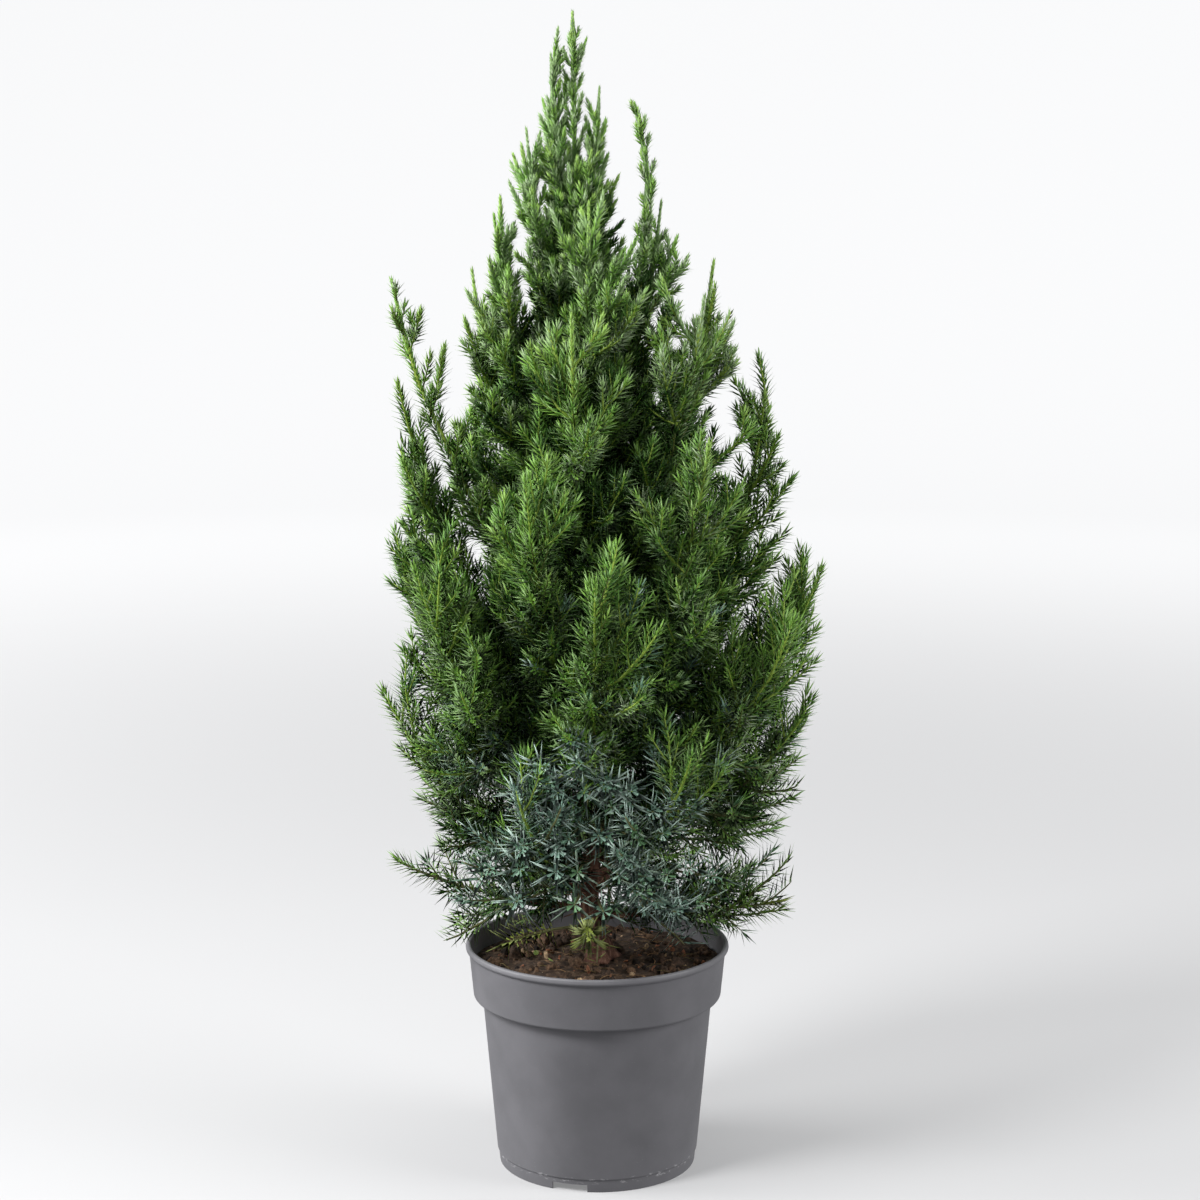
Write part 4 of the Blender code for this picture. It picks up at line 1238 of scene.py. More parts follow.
def shorten(stems, own, share):
    """End one plume's stem at a share of its length, along its own curve."""
    end = stems.points(np.array([own]), np.array([share]))[0]
    stems.elbow[own] = stems.root[own] + share * (stems.elbow[own] - stems.root[own])
    stems.tip[own] = end


def bulge(stems, branches, own):
    """Bow one plume's stem to the right and carry its branches along."""
    share = np.linspace(0.0, 1.0, BULGE_STEPS)
    course = stems.points(np.full(BULGE_STEPS, own), share)
    for row in np.flatnonzero(branches.own == own):
        nearest = share[np.linalg.norm(course - branches.root[row], axis=1).argmin()]
        for points in (branches.root, branches.elbow, branches.tip):
            points[row, 0] += 2.0 * nearest * (1.0 - nearest) * BULGE
    stems.elbow[own, 0] += BULGE


def out_of_sky(twigs):
    """Return the twigs that stand in none of the gaps, as the camera sees them.

    Behind a gap that shows the trunk, twigs may stand.
    """
    found = np.zeros(len(twigs.own), dtype=bool)
    eye = np.array(CAMERA_PLACE)
    for points in (twigs.tip, twigs.places(TWIG_MIDDLE)):
        away = eye[1] / (eye[1] - points[:, 1])
        across = eye[0] + (points[:, 0] - eye[0]) * away
        height = eye[2] + (points[:, 2] - eye[2]) * away
        before_trunk = points[:, 1] < 0.0
        for gaps, concerned in ((SKY_GAPS, True), (TRUNK_GAPS, before_trunk)):
            for x, z, half_width, half_height in gaps:
                inside = np.hypot((across - x) / half_width, (height - z) / half_height) < 1.0
                found |= inside & concerned
    return twigs.take(np.flatnonzero(~found))


def grow_crown(plumes, spaces, rng):
    """Return every twig of the crown, from the plumes' axes to the finest."""
    starts = [mass_start(plume, spaces) for plume in plumes]
    stems = plume_stems(plumes, starts)
    names = [plume["name"] for plume in plumes]
    for name, share in SHORT_PLUMES.items():
        shorten(stems, names.index(name), share)
    branches = source_branches(plumes, starts, spaces)
    bulge(stems, branches, names.index(BULGE_PLUME))
    limbs = out_of_sky(Twigs.joined([branches, edge_shoots(plumes, spaces, rng), trunk_shoots(spaces, rng)]))
    fillers = out_of_sky(sprout(stems, FILLER_GROWTH, spaces, rng))
    twigs = sprout(limbs, TWIG_GROWTH, spaces, rng)
    long_fillers = fillers.take(fillers.lengths() > SPRIG_PARENT)
    sprigs = sprout(long_fillers, SPRIG_GROWTH, spaces, rng)
    small = [foot_twigs(len(plumes) - 1), front_stars(spaces, rng), covered_trunk()]
    return Twigs.joined([stems, limbs, fillers, out_of_sky(Twigs.joined([twigs, sprigs])), *small])


# Needles


def needle_rows(twigs, rng):
    """Return one row for each needle: twig, share, root, direction, outward, length and half width."""
    length = twigs.lengths()
    pitch = by_height(WHORL_PITCH, twigs.places(TWIG_MIDDLE)[:, 2])
    whorls = np.maximum(2, np.round(length * (1.0 - twigs.bare) / pitch)).astype(int)
    row, place = numbered(whorls)
    share = twigs.bare[row] + (1.0 - twigs.bare[row]) * ((place + WHORL_PLACE) / whorls[row]) ** TIP_CROWDING
    last = place == whorls[row] - 1
    row, place, last, share = (np.repeat(values, WHORL_NEEDLES) for values in (row, place, last, share))
    count = len(row)
    share = share + rng.uniform(-NEEDLE_SHIFT, NEEDLE_SHIFT, count) * pitch[row] / length[row]
    share = np.clip(share, 0.0, LAST_PLACE)
    leg = np.tile(np.arange(WHORL_NEEDLES), count // WHORL_NEEDLES)
    turn = 2.0 * math.pi * (leg / WHORL_NEEDLES + place / (2.0 * WHORL_NEEDLES))
    turn = turn + rng.uniform(-NEEDLE_TURN_JITTER, NEEDLE_TURN_JITTER, count)
    root = twigs.points(row, share)
    along = twigs.headings(row, share)
    out = turned_sideways(along, turn)
    heights = root[:, 2]
    star = twigs.order[row] == FOOT
    young = np.where(star, 0.0, np.clip((share - YOUNG_FROM) / YOUNG_SPAN, 0.0, 1.0))
    closing = by_height(TIP_CLOSING, heights)
    lean = by_height(NEEDLE_LEAN, heights) * (1.0 - closing * young) * rng.uniform(*NEEDLE_LEAN_VARIES, count)
    lean = np.where(last, lean * rng.uniform(*LAST_LEAN, count), lean)
    lean = np.radians(np.where(star, STAR_NEEDLE_LEAN * lean, lean))[:, None]
    direction = unit_rows(along * np.cos(lean) + out * np.sin(lean))
    size = by_height(NEEDLE_LENGTH, heights) * rng.uniform(*NEEDLE_LENGTH_VARIES, count)
    size *= (1.0 - by_height(YOUNG_LOSS, heights) * young) * np.where(star, STAR_NEEDLE_LENGTH, 1.0)
    width = by_height(NEEDLE_HALF_WIDTH, heights) * rng.uniform(*NEEDLE_WIDTH_VARIES, count)
    width *= np.where(star, STAR_NEEDLE_WIDTH, 1.0)
    return dict(twig=row, share=share, root=root, direction=direction, out=out, size=size, width=width)


def needle_arrays(rows, keep):
    """Return the points and faces of the kept needles.

    Each is lance-shaped and has four points: its two edges, its keel at the root and its tip.
    """
    root, direction, out, size, width = (
        rows[key][keep] for key in ("root", "direction", "out", "size", "width")
    )
    size, width = size[:, None], width[:, None]
    across = unit_rows(np.cross(direction, out)) * width
    keel = unit_rows(out - direction * (out * direction).sum(1, keepdims=True))
    widest = root + NEEDLE_WIDEST * size * direction
    foot = root + NEEDLE_KEEL * width * keel
    points = np.stack((widest - across, widest + across, foot, root + size * direction), axis=1)
    faces = NEEDLE_FACES[None] + 4 * np.arange(len(keep))[:, None, None]
    return points.reshape(-1, 3), faces.reshape(-1, 3)


def keep_needles(rows, twigs, spaces):
    """Tell which needles stay inside the outline and off the trunk.

    Those of outliers, stems and shoots that mark the edge may pass the outline.
    """
    tips = rows["root"] + rows["direction"] * rows["size"][:, None]
    order = twigs.order[rows["twig"]]
    exempt = spaces.free[twigs.own[rows["twig"]]] | np.isin(order, (EDGE, STEM))
    good = exempt | (crown_excess(tips) < np.where(order == TWIG, 0.0, NEEDLE_EXCESS))
    good &= tips[:, 2] > POT_HEIGHT + NEEDLE_ROOM
    good &= tips[:, 2] <= LEADER_TIP[2] + NEEDLE_ROOM
    good[good] = spaces.trunk_room(tips[good]) > NEEDLE_ROOM
    return good


def deal_tones(twigs, rows, rng):
    """Return each needle's tone: one for the body and one for the tip of each twig."""
    names = list(TONES)
    count = len(twigs.own)
    middles = twigs.places(np.where(twigs.order == STEM, STEM_PLACE, TWIG_MIDDLE))
    heights = middles[:, 2] + rng.normal(0.0, ZONE_BLEND, count)
    tones = np.zeros((count, 2), dtype=int)
    zone_of = np.searchsorted([zone[0] for zone in ZONES], heights, side="right") - 1
    for number, (_, *parts) in enumerate(ZONES):
        members = np.flatnonzero(zone_of == number)
        for column, shares in enumerate(parts):
            weights = np.array(list(shares.values()), dtype=float)
            picks = rng.choice(len(weights), size=len(members), p=weights / weights.sum())
            tones[members, column] = np.array([names.index(name) for name in shares])[picks]
    sideways = np.abs(middles[:, 0]) + heights - middles[:, 2] > SIDE_REACH
    greener = np.array([names.index(SIDE_TONES.get(name, name)) for name in names])
    tones[sideways] = greener[tones[sideways]]
    # Twigs deep inside the crown take the shade tone: painted shade where the crown is dark
    depth = -crown_excess(middles)
    chance = np.clip((depth - SHADE_DEPTH[0]) / (SHADE_DEPTH[1] - SHADE_DEPTH[0]), 0.0, SHADE_MOST)
    tones[rng.random(count) < chance] = names.index("shade")
    foot = np.flatnonzero(twigs.order == FOOT)
    tones[foot] = rng.choice([names.index(name) for name in STAR_TONES], (len(foot), 1))
    tones[foot[:2]] = names.index("olive")
    dealt = tones[rows["twig"], (rows["share"] > TIP_FROM).astype(int)]
    low_stem = (twigs.order[rows["twig"]] == STEM) & (rows["root"][:, 2] < OLIVE_BELOW)
    dealt[low_stem] = names.index("olive")
    return dealt


# Materials of the plant


def needle_materials():
    """Return two materials for each tone, for the outer and the upper faces of its needles: the pale upper
    face stands for stomatal bands and partly for a painted highlight.
    """
    materials = []
    for name, (*colours, gloss) in TONES.items():
        for face, colour in zip(("outer", "upper"), colours):
            material, shader = new_material(f"needles {name} {face}", colour, 0.45)
            vary_roughness(material, shader, *ROUGHNESS["needles"])
            shader.inputs["Specular IOR Level"].default_value = gloss
            materials.append(material)
    return materials


def stem_materials():
    """Return the materials of young, older, topmost and low stems."""
    materials = []
    for name, colour in STEM_COLOURS.items():
        material, shader = new_material(name, colour, 0.6)
        vary_roughness(material, shader, *ROUGHNESS["stems"])
        materials.append(material)
    return materials


# Pieces of the plant


def tubes(twigs, rows, shares, radii, sides):
    """Return the points and faces of tubes along twigs, each closed by a point at its tip.

    The radii have a row for each twig and a column for each of the shares.
    """
    count, rings = radii.shape
    points = np.empty((count, rings * sides + 1, 3))
    for ring, share in enumerate(shares):
        spot = np.full(count, share)
        centre = twigs.points(rows, spot)
        one, other = side_rows(twigs.headings(rows, spot))
        for side, turn in enumerate(turns_of(sides)):
            way = math.cos(turn) * one + math.sin(turn) * other
            points[:, ring * sides + side] = centre + radii[:, ring : ring + 1] * way
    points[:, -1] = twigs.points(rows, np.ones(count))
    last = (rings - 1) * sides
    faces = [(0, k + 1, k) for k in range(1, sides - 1)] + tube_faces(rings, sides)
    faces += [(last + k, last + (k + 1) % sides, rings * sides) for k in range(sides)]
    faces = np.array(faces)[None] + (rings * sides + 1) * np.arange(count)[:, None, None]
    return points.reshape(-1, 3), faces.reshape(-1, 3)


def make_foliage(plumes, twigs, spaces, stem_kinds, rng):
    """Make one piece of needles and one of twigs for each tier of masses."""
    rows = needle_rows(twigs, rng)
    good = keep_needles(rows, twigs, spaces)
    tones = deal_tones(twigs, rows, rng)
    needle_kinds = needle_materials()
    tier_names = ["leader"] + [tier[0] for tier in TIERS]
    tier_of_twig = np.array([tier_names.index(plume["tier"]) for plume in plumes])[twigs.own]
    for number, tier in enumerate(tier_names):
        nodes = ["foliage_" + plume["name"] for plume in plumes if plume["tier"] == tier]
        keep = np.flatnonzero(good & (tier_of_twig[rows["twig"]] == number))
        turns = rng.choice(len(NEEDLE_TURNS), len(keep), p=NEEDLE_TURN_SHARES)
        slots = (2 * tones[keep])[:, None] + NEEDLE_TURNS[turns]
        needles = add_piece("needles_" + tier, needle_arrays(rows, keep), needle_kinds, slots.ravel())
        members = np.flatnonzero((tier_of_twig == number) & (twigs.order != COVER))
        wood = make_twig_piece("twigs_" + tier, twigs, members, stem_kinds)
        for piece in (needles, wood):
            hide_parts(*nodes)


def make_twig_piece(name, twigs, rows, stem_kinds):
    """Make the wood of some twigs: thick ones have more sides than thin ones."""
    length = twigs.lengths()[rows]
    order = twigs.order[rows]
    height = twigs.tip[rows, 2]
    top = np.clip((height - TOP_FROM) / TOP_BLEND, 0.0, 1.0)[:, None]
    girth = np.clip(TWIG_GIRTH_BASE + TWIG_GIRTH_GAIN * length, *TWIG_GIRTH)
    girth = np.where(order == STEM, STEM_GIRTH, girth)
    radii = girth[:, None] * ((1.0 - top) * np.array(GIRTH_LOW) + top * np.array(GIRTH_TOP))
    older = (order == BRANCH) & (length < OLDER_BELOW)
    kind = np.where(top[:, 0] > TOPMOST_ABOVE, 2, np.where(older, 1, 0))
    kind[height < LOW_STEM_BELOW] = 3
    thick = (order == STEM) | (length > THICK_ABOVE)
    shapes, slots = [], []
    for part, sides in ((thick, 6), (~thick, 3)):
        points, faces = tubes(twigs, rows[part], GIRTH_SHARES, radii[part], sides)
        shapes.append((points, faces))
        slots.append(np.repeat(kind[part], len(faces) // max(1, part.sum())))
    return add_piece(name, merged(shapes), stem_kinds, np.concatenate(slots))


def rough_tube(centres, radii, sides, relief, seed):
    """Return the points and faces of a closed tube with a fibrous relief along it."""
    centres = np.asarray(centres)
    one, other = side_rows(unit_rows(np.gradient(centres, axis=0)))
    around, upward = BARK_WAVES
    points = []
    for index, (centre, radius) in enumerate(zip(centres, radii)):
        for turn in turns_of(sides):
            way = math.cos(turn) * one[index] + math.sin(turn) * other[index]
            spot = Vector((way[0] * around + seed, way[1] * around, centre[2] * upward))
            swell = noise.fractal(spot, *BARK_NOISE) * relief
            points.append(centre + way * (radius * (1.0 + swell)))
    faces = tube_faces(len(centres), sides)
    last, low_end = len(points) - sides, len(points)
    for k in range(sides):
        after = (k + 1) % sides
        faces += [(after, k, low_end), (last + k, last + after, low_end + 1)]
    return np.array([*points, centres[0], centres[-1]]), np.array(faces)


def make_trunk(material, green_bark):
    """The trunk with the relief of its bark, from the soil to its tip inside the leader."""
    rings, sides, relief = TRUNK_BARK
    foot = TRUNK_COURSE[0][0]
    level = np.linspace(foot, TRUNK_COURSE[-1][0], rings)
    centres = trunk_places(level)
    points, faces = rough_tube(centres, trunk_radius(level), sides, relief, 3.0)
    skin = points[:-2].reshape(rings, sides, 3)
    flare = FLARE_DEPTH * np.clip(1.0 - (level - foot) / FLARE_HEIGHT, 0.0, 1.0)
    swell = 1.0 + flare[:, None] * np.cos(FLARE_LOBES * turns_of(sides))[None]
    skin[:] = centres[:, None] + (skin - centres[:, None]) * swell[..., None]
    green = points[faces].mean(axis=1)[:, 2] > COVERED_FROM
    piece = add_piece("trunk_bark", (points, faces), [material, green_bark], green.astype(int), True)
    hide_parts("trunk")


def make_boughs(plumes, spaces, material):
    """All boughs, from the trunk to a little beyond where each enters its mass."""
    rings, sides, relief = BOUGH_BARK
    shapes, nodes = [], []
    for number, plume in enumerate(plumes):
        if not plume["bough"]:
            continue
        start = clear_start(plume["axis"], BOUGH_ROOT_RADIUS, BOUGH_SIDES, spaces)
        ends = (start, plume["bough"], plume["bough"] + BOUGH_RUN_ON)
        shares = np.linspace(start, ends[-1], rings)
        centres = [place_on(plume["axis"], share)[0] for share in shares]
        girths = (BOUGH_ROOT_RADIUS, BOUGH_TIP_RADIUS, BOUGH_END_GIRTH * BOUGH_TIP_RADIUS)
        shapes.append(rough_tube(centres, np.interp(shares, ends, girths), sides, relief, 7.0 + number))
        nodes.append("bough_" + plume["name"])
    piece = add_piece("bough_bark", merged(shapes), [material], smooth=True)
    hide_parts(*nodes)


def make_dry_twigs(material, rng):
    """Thin dead twigs in a tangle round the foot of the trunk."""
    height = rng.uniform(*DRY_SPAN, DRY_COUNT)
    turn = rng.uniform(math.pi, 2.0 * math.pi, DRY_COUNT)
    level = np.stack((np.cos(turn), np.sin(turn), rng.uniform(*DRY_SLOPE, DRY_COUNT)), axis=1)
    size = rng.uniform(*DRY_LENGTH, DRY_COUNT)[:, None]
    root = trunk_places(height)
    tip = root + size * unit_rows(level)
    elbow = (root + tip) / 2.0 + rng.normal(0.0, DRY_CROOK, (DRY_COUNT, 3)) * size
    for points in (elbow, tip):
        points[:, 2] = np.maximum(points[:, 2], DRY_LEAST_HEIGHT)
    twigs = Twigs(root, elbow, tip, np.zeros(DRY_COUNT, dtype=int), TWIG, 0.0)
    radii = rng.uniform(*DRY_RADIUS, DRY_COUNT)[:, None] * np.array(DRY_GIRTH)
    piece = add_piece("dry_twigs", tubes(twigs, np.arange(DRY_COUNT), DRY_SHARES, radii, 4), [material])


# Pot


def pot_profile():
    """Return the pot's section from the middle of its underside, out, up and back inside.

    The smallest numbers are the slopes and soft edges of the plastic.
    """
    lip_foot = POT_HEIGHT - LIP_HEIGHT
    inner_lip = RIM_RADIUS - LIP_WIDTH
    return (
        (0.0, 0.0),
        (HUB_RADIUS, 0.0),
        (HUB_RADIUS + 0.0010, BASE_UNDERSIDE),
        (SKIRT_TOP_RADIUS - WALL, BASE_UNDERSIDE),
        (SKIRT_FOOT_RADIUS - WALL, 0.0),
        (SKIRT_FOOT_RADIUS, 0.0),
        (SKIRT_TOP_RADIUS, SKIRT_HEIGHT),
        (BODY_FOOT_RADIUS, SKIRT_HEIGHT + 0.0008),
        (BODY_TOP_RADIUS, BAND_FOOT_HEIGHT),
        (BAND_FOOT_RADIUS - 0.0010, BAND_FOOT_HEIGHT),
        (BAND_FOOT_RADIUS, BAND_FOOT_HEIGHT + 0.0012),
        (BAND_TOP_RADIUS, lip_foot),
        (RIM_RADIUS - 0.0008, lip_foot + 0.0004),
        (RIM_RADIUS, lip_foot + 0.0018),
        (RIM_RADIUS - 0.0004, POT_HEIGHT - 0.0007),
        (RIM_RADIUS - 0.0012, POT_HEIGHT),
        (inner_lip + 0.0008, POT_HEIGHT),
        (inner_lip, POT_HEIGHT - 0.0010),
        (BAND_TOP_RADIUS - WALL, lip_foot),
        (BAND_FOOT_RADIUS - WALL, BAND_FOOT_HEIGHT + 2.0 * WALL),
        (BODY_TOP_RADIUS - WALL, BAND_FOOT_HEIGHT),
        (BODY_FOOT_RADIUS - WALL, BASE_TOP + 0.0016),
        (BODY_FOOT_RADIUS - 2.0 * WALL, BASE_TOP),
        (0.0, BASE_TOP),
    )


def rounded(profile, radius, steps):
    """Return a section with its corners rounded by short curves."""
    corners = [np.array(point) for point in profile]
    result = [corners[0]]
    for before, corner, after in zip(corners, corners[1:], corners[2:]):
        back, on = before - corner, after - corner
        reach = min(radius, CORNER_SHARE * np.linalg.norm(back), CORNER_SHARE * np.linalg.norm(on))
        start, end = corner + unit(back) * reach, corner + unit(on) * reach
        result += [curve(start, corner, end, k / steps) for k in range(steps + 1)]
    result.append(corners[-1])
    return result


def ring_of(radius, height, sides):
    """Return a level ring of points round the pot's axis."""
    return [(radius * math.cos(turn), radius * math.sin(turn), height) for turn in turns_of(sides)]


def revolve(name, profile, segments):
    """Turn a profile of (radius, height) points, which starts and ends on the axis."""
    rings = profile[1:-1]
    points = [(0.0, 0.0, profile[0][1])]
    for radius, height in rings:
        points += ring_of(radius, height, segments)
    points.append((0.0, 0.0, profile[-1][1]))
    faces = []
    for k in range(segments):
        after = (k + 1) % segments
        faces.append((0, 1 + after, 1 + k))
        for ring in range(len(rings) - 1):
            low = 1 + ring * segments
            high = low + segments
            faces.append((low + k, low + after, high + after, high + k))
        last = 1 + (len(rings) - 1) * segments
        faces.append((last + k, last + after, len(points) - 1))
    return polygon_mesh(name, points, faces)


def prism(name, outline, low, high):
    """Make an upright prism over an outline that runs anticlockwise."""
    count = len(outline)
    points = [(x, y, low) for x, y in outline] + [(x, y, high) for x, y in outline]
    faces = [tuple(reversed(range(count))), tuple(range(count, 2 * count))]
    for k in range(count):
        after = (k + 1) % count
        faces.append((k, after, count + after, count + k))
    return add_item(name, polygon_mesh(name, points, faces))


def cut(item, cutter):
    boolean = item.modifiers.new("cut", "BOOLEAN")
    boolean.operation = "DIFFERENCE"
    boolean.solver = "MANIFOLD"
    boolean.object = cutter
    depsgraph = bpy.context.evaluated_depsgraph_get()
    shape = bpy.data.meshes.new_from_object(item.evaluated_get(depsgraph), depsgraph=depsgraph)
    item.modifiers.clear()
    item.data = shape
    bpy.data.objects.remove(cutter, do_unlink=True)


def notch_outline(turn):
    """Return a rectangle across the skirt at a turn."""
    along = Vector((math.cos(turn), math.sin(turn)))
    across = Vector((-along.y, along.x))
    near, far = SKIRT_FOOT_RADIUS - NOTCH_INSIDE, SKIRT_FOOT_RADIUS + NOTCH_OUTSIDE
    half = NOTCH_WIDTH / 2.0
    corners = ((near, -half), (far, -half), (far, half), (near, half))
    return [tuple(along * out + across * side) for out, side in corners]


def drain_outline(turn):
    centre = Vector((math.cos(turn), math.sin(turn))) * DRAIN_CIRCLE
    return [(centre.x + x, centre.y + y) for x, y, _ in ring_of(DRAIN_RADIUS, 0.0, DRAIN_SIDES)]


def height_band(material, low, high, fade):
    """Return a value that is one between two heights of the object and fades outside them."""
    place = add_node(material, "ShaderNodeTexCoord")
    parts = add_node(material, "ShaderNodeSeparateXYZ")
    join(material, place.outputs["Object"], parts.inputs["Vector"])
    reaches = ((low - fade, low), (high + fade, high))
    sides = [spread(material, parts.outputs["Z"], reach, (0.0, 1.0), "SMOOTHSTEP") for reach in reaches]
    return multiply(material, *sides)


def multiply(material, first, second):
    node = add_node(material, "ShaderNodeMath", operation="MULTIPLY")
    join(material, first, node.inputs[0])
    join(material, second, node.inputs[1])
    return node.outputs["Value"]


def blend_colours(material, factor, first, second):
    node = add_node(material, "ShaderNodeMix", data_type="RGBA")
    join(material, factor, node.inputs["Factor"])
    join(material, first, node.inputs["A"])
    node.inputs["B"].default_value = (*second, 1.0)
    return node.outputs["Result"]


def pot_material():
    """Matt dark grey plastic with faint flow marks, pale specks and scuffs along its foot."""
    material, shader = new_material("dark grey plastic", POT_COLOUR, 0.5)
    colour = ramp(material, object_noise(material, 38.0, 4.0), POT_STOPS)
    worn = ramp(material, object_noise(material, 210.0, 5.0, (1.0, 1.0, 2.4), 0.7), SCUFF_STOPS)
    scuffs = multiply(material, worn, height_band(material, *SCUFF_BAND))
    colour = blend_colours(material, scuffs, colour, SCUFF_COLOUR)
    specks = ramp(material, object_noise(material, 1500.0, 1.0), SPECK_STOPS)
    colour = blend_colours(material, specks, colour, SPECK_COLOUR)
    join(material, colour, shader.inputs["Base Color"])
    grain = vary_roughness(material, shader, *ROUGHNESS["pot"])
    add_bump(material, shader, grain, *POT_RELIEF)
    return material


def make_pot():
    material = pot_material()
    mesh = revolve("pot_shell", rounded(pot_profile(), CORNER_RADIUS, CORNER_STEPS), POT_SEGMENTS)
    pot = add_object("pot_shell", mesh, [])
    for k in range(NOTCH_COUNT):
        turn = math.radians(NOTCH_FIRST_TURN + 360.0 * k / NOTCH_COUNT)
        cut(pot, prism("notch", notch_outline(turn), -CUT_BEYOND, NOTCH_HEIGHT))
    for k in range(DRAIN_COUNT):
        turn = 2.0 * math.pi * (k + 0.5) / DRAIN_COUNT
        cut(pot, prism("drain", drain_outline(turn), BASE_UNDERSIDE - CUT_BEYOND, BASE_TOP + CUT_BEYOND))
    pot.data.materials.clear()
    pot.data.materials.append(material)
    pot.data.shade_smooth()
    pot.data.set_sharp_from_angle(angle=math.radians(SHARP_FROM))
    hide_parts("pot")


# Soil


def soil_height(x, y):
    """Return the soil's uneven surface, which falls a little towards the pot's wall."""
    level = SOIL_LEVEL - SOIL_EDGE_DROP * (math.hypot(x, y) / SOIL_RADIUS)
    rough = noise.fractal(Vector((x * SOIL_GRAIN, y * SOIL_GRAIN, 2.0)), *SOIL_NOISE)
    return level + SOIL_UNEVENNESS * rough


def crumbly_material(name, colour):
    """Return a matt material mottled from dark to light about a colour."""
    dark = tuple(0.35 * value for value in colour)
    pale = tuple(min(1.0, 2.1 * value) for value in colour)
    stops = ((0.34, dark), (0.52, colour), (0.72, pale))
    grain = dict(scale=520.0, detail=4.0, roughness=0.6)
    return mottled(name, colour, 0.92, grain, stops, (0.8, 0.0006))


def make_soil_bed(material):
    points = [(0.0, 0.0)]
    for ring in range(1, SOIL_RINGS + 1):
        points += [(x, y) for x, y, _ in ring_of(SOIL_RADIUS * ring / SOIL_RINGS, 0.0, SOIL_SPOKES)]
    points = [(x, y, soil_height(x, y)) for x, y in points]
    faces = []
    for k in range(SOIL_SPOKES):
        after = (k + 1) % SOIL_SPOKES
        faces.append((0, 1 + k, 1 + after))
        for low in range(1, 1 + (SOIL_RINGS - 1) * SOIL_SPOKES, SOIL_SPOKES):
            high = low + SOIL_SPOKES
            faces += [(low + k, high + k, high + after), (low + k, high + after, low + after)]
    piece = add_piece("soil_bed", (points, faces), [material], smooth=True)
    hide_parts("soil")


def ball(subdivisions):
    """Return the points and faces of a unit ball of triangles."""
    shape = bmesh.new()
    bmesh.ops.create_icosphere(shape, subdivisions=subdivisions, radius=1.0)
    points = np.array([point.co[:] for point in shape.verts])
    faces = np.array([[point.index for point in face.verts] for face in shape.faces])
    shape.free()
    return points, faces


def lump(points, size, roughness, rng):
    """Return a ball's points as a lump of a size in three directions, rough and turned anyhow."""
    seed = Vector(rng.uniform(0.0, 50.0, 3))
    swell = np.array([noise.fractal(Vector(point) * LUMP_GRAIN + seed, *LUMP_NOISE) for point in points])
    angles = [rng.uniform(0.0, 2.0 * math.pi) for _ in range(3)]
    return (points * (1.0 + roughness * swell[:, None]) * size) @ np.array(Euler(angles).to_matrix()).T


def soil_places(count, margin, rng):
    """Return places on the soil that keep off the trunk and the pot's wall."""
    places = []
    while len(places) < count:
        x, y = rng.uniform(-SOIL_RADIUS, SOIL_RADIUS, 2)
        off_trunk = math.hypot(x - TRUNK_COURSE[0][1], y) > TRUNK_ROOM
        if off_trunk and math.hypot(x, y) < SOIL_RADIUS - margin:
            places.append((x, y))
    return places


def make_lumps(rng):
    """Clods, crumbs and chips of bark that lie half sunk in the soil."""
    tones = [crumbly_material(f"soil {name}", colour) for name, colour in SOIL_TONES.items()]
    names = list(SOIL_TONES)
    shapes, slots = [], []
    for count, least, most, flat, subdivisions, roughness, kinds in LUMPS:
        ball_points, ball_faces = ball(subdivisions)
        for x, y in soil_places(count, most, rng):
            size = least + (most - least) * rng.random() ** LUMP_POWER
            length, width = rng.uniform(*LUMP_LENGTH), rng.uniform(*LUMP_WIDTH)
            form = size * np.array((length, width, flat * rng.uniform(*LUMP_HEIGHT)))
            body = lump(ball_points, form, roughness, rng)
            centre = np.array((x, y, soil_height(x, y) + LUMP_RISE * size * flat))
            shapes.append((body + centre, ball_faces))
            slots.append(np.full(len(ball_faces), names.index(kinds[rng.integers(len(kinds))])))
    piece = add_piece("soil_lumps", merged(shapes), tones, np.concatenate(slots), True)


def make_litter(rng):
    """Fallen needles and dry fibres on the soil."""
    ends = []
    for x, y in soil_places(LITTER_COUNT, LITTER_LENGTH, rng):
        turn = rng.uniform(0.0, 2.0 * math.pi)
        way = np.array((math.cos(turn), math.sin(turn), 0.0)) * LITTER_LENGTH * rng.uniform(*LITTER_SHARES)
        root = np.array((x, y, soil_height(x, y) + rng.uniform(*LITTER_RISE)))
        elbow = root + 0.5 * way + rng.uniform(-LITTER_BEND, LITTER_BEND, 3) + LITTER_ARCH * UP
        ends.append((root, elbow, root + way + rng.uniform(-LITTER_SLOPE, LITTER_SLOPE) * UP))
    rows = np.arange(LITTER_COUNT)
    litter = Twigs(*(np.array(column) for column in zip(*ends)), np.zeros_like(rows), TWIG, 0.0)
    radii = np.outer(rng.uniform(*LITTER_RADIUS, LITTER_COUNT), LITTER_GIRTH)
    shape = tubes(litter, rows, GIRTH_SHARES, radii, 4)
    kinds = np.repeat(rng.integers(0, 2, LITTER_COUNT), len(shape[1]) // LITTER_COUNT)
    tones = [crumbly_material(name, colour) for name, colour in LITTER_TONES.items()]
    piece = add_piece("soil_litter", shape, tones, kinds)


def make_seed_leaves():
    """Two small seed leaves on the soil, each a cupped oval."""
    material = mottled("seed leaf", *SEED_LEAF_LOOK)
    ball_points, ball_faces = ball(3)
    shapes = []
    for x, y, turn, tilt in SEED_LEAVES:
        form = ball_points * np.array(SEED_LEAF_SIZE)
        form[:, 2] += SEED_LEAF_CUP * (form[:, 0] ** 2 + 2.0 * form[:, 1] ** 2)
        spin = np.array(Euler((math.radians(tilt), 0.0, math.radians(turn))).to_matrix())
        centre = np.array((x, y, soil_height(x, y) + SEED_LEAF_RISE))
        shapes.append((form @ spin.T + centre, ball_faces))
    piece = add_piece("seed_leaves", merged(shapes), [material], smooth=True)


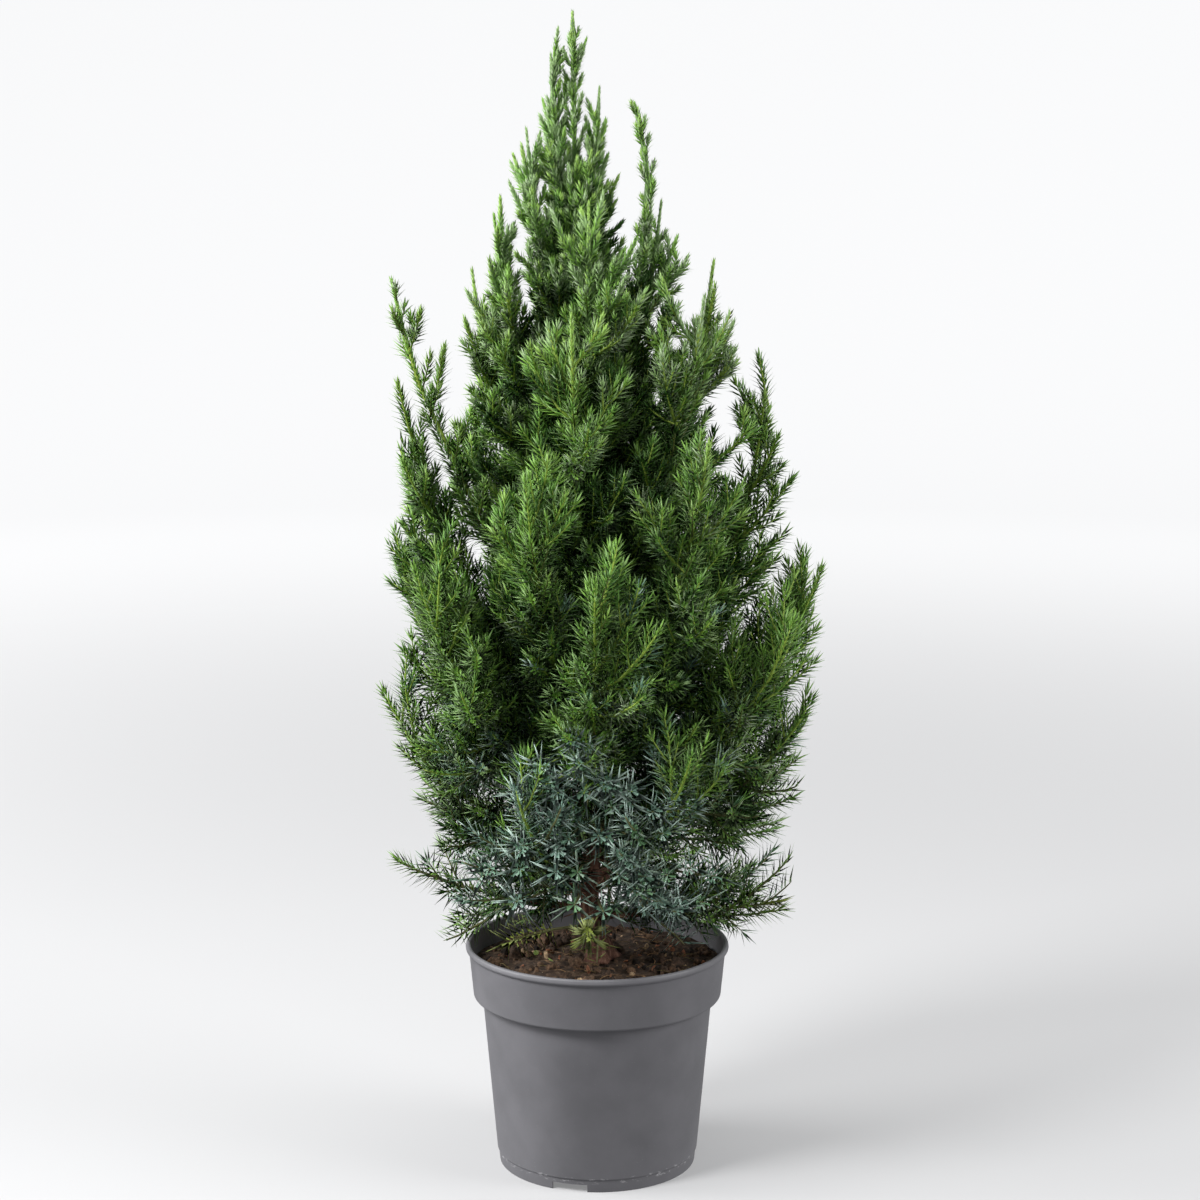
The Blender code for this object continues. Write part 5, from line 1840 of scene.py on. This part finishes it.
def make_soil():
    rng = np.random.default_rng(SEED + 1)
    make_soil_bed(mottled("potting soil", *SOIL_LOOK))
    make_lumps(rng)
    make_litter(rng)
    make_seed_leaves()


# Stage, light and camera


def stage_material():
    """Pale paper that gives a little light of its own, more on the wall than on the floor."""
    material, shader = new_material("studio paper", STAGE_COLOUR, 0.9)
    shader.inputs["Specular IOR Level"].default_value = 0.1
    vary_roughness(material, shader, *ROUGHNESS["paper"])
    place = add_node(material, "ShaderNodeTexCoord")
    length = add_node(material, "ShaderNodeVectorMath", operation="LENGTH")
    join(material, place.outputs["Object"], length.inputs[0])
    glow = spread(material, length.outputs["Value"], STAGE_GLOW_SPAN, STAGE_GLOW, "SMOOTHSTEP")
    join(material, glow, shader.inputs["Emission Strength"])
    shader.inputs["Emission Color"].default_value = (*STAGE_GLOW_COLOUR, 1.0)
    return material


def make_stage():
    """A pale floor that turns up into a wall all the way round."""
    profile = [(STAGE_FLOOR, 0.0)]
    for k in range(1, STAGE_STEPS + 1):
        turn = math.pi / 2.0 * k / STAGE_STEPS
        profile.append((STAGE_FLOOR + STAGE_CORNER * math.sin(turn), STAGE_CORNER * (1.0 - math.cos(turn))))
    profile.append((STAGE_FLOOR + STAGE_CORNER, STAGE_WALL))
    points = [(0.0, 0.0, 0.0)]
    for radius, height in profile:
        points += ring_of(radius, height, STAGE_SEGMENTS)
    faces = []
    for k in range(STAGE_SEGMENTS):
        after = (k + 1) % STAGE_SEGMENTS
        faces.append((0, 1 + k, 1 + after))
        for low in range(1, 1 + (len(profile) - 1) * STAGE_SEGMENTS, STAGE_SEGMENTS):
            high = low + STAGE_SEGMENTS
            faces.append((low + k, high + k, high + after, low + after))
    mesh = polygon_mesh("studio_sweep", points, faces)
    mesh.shade_smooth()
    mesh.materials.append(stage_material())
    sweep = add_item("studio_sweep", mesh)
    sweep.visible_shadow = False
    sweep.visible_diffuse = False
    sweep.visible_glossy = False


def make_lights():
    for name, azimuth, elevation, away, size, power in LIGHTS:
        turn, rise = math.radians(azimuth), math.radians(elevation)
        level = away * math.cos(rise)
        height = LIGHT_AIM[2] + away * math.sin(rise)
        place = Vector((level * math.cos(turn), level * math.sin(turn), height))
        light = bpy.data.lights.new(name, "AREA")
        light.shape = "DISK"
        light.size = size
        light.energy = power
        item = add_item(name, light)
        item.location = place
        item.rotation_euler = (Vector(LIGHT_AIM) - place).to_track_quat("-Z", "Y").to_euler()
    world = bpy.data.worlds.new("studio")
    bpy.context.scene.world = world
    world.use_nodes = True
    background = world.node_tree.nodes["Background"]
    background.inputs["Color"].default_value = (*WORLD_COLOUR, 1.0)
    background.inputs["Strength"].default_value = WORLD_LIGHT


def make_camera():
    camera = bpy.data.cameras.new("camera")
    camera.lens = CAMERA_LENS
    camera.sensor_width = CAMERA_SENSOR
    camera.sensor_height = CAMERA_SENSOR
    item = add_item("camera", camera)
    item.location = CAMERA_PLACE
    item.rotation_euler = (math.radians(CAMERA_TILT), 0.0, 0.0)
    bpy.context.scene.camera = item


def main():
    make_camera()
    make_stage()
    make_lights()
    bpy.context.scene.view_settings.view_transform = "Standard"
    make_pot()
    make_soil()
    plumes = plan_plumes()
    spaces = Spaces(plumes)
    rng = np.random.default_rng(SEED)
    twigs = grow_crown(plumes, spaces, rng)
    bark = mottled("peeling bark", *BARK_LOOK)
    stem_kinds = stem_materials()
    make_trunk(bark, stem_kinds[2])
    make_dry_twigs(mottled("dry twigs", *DRY_LOOK), rng)
    make_boughs(plumes, spaces, bark)
    make_foliage(plumes, twigs, spaces, stem_kinds, rng)


main()
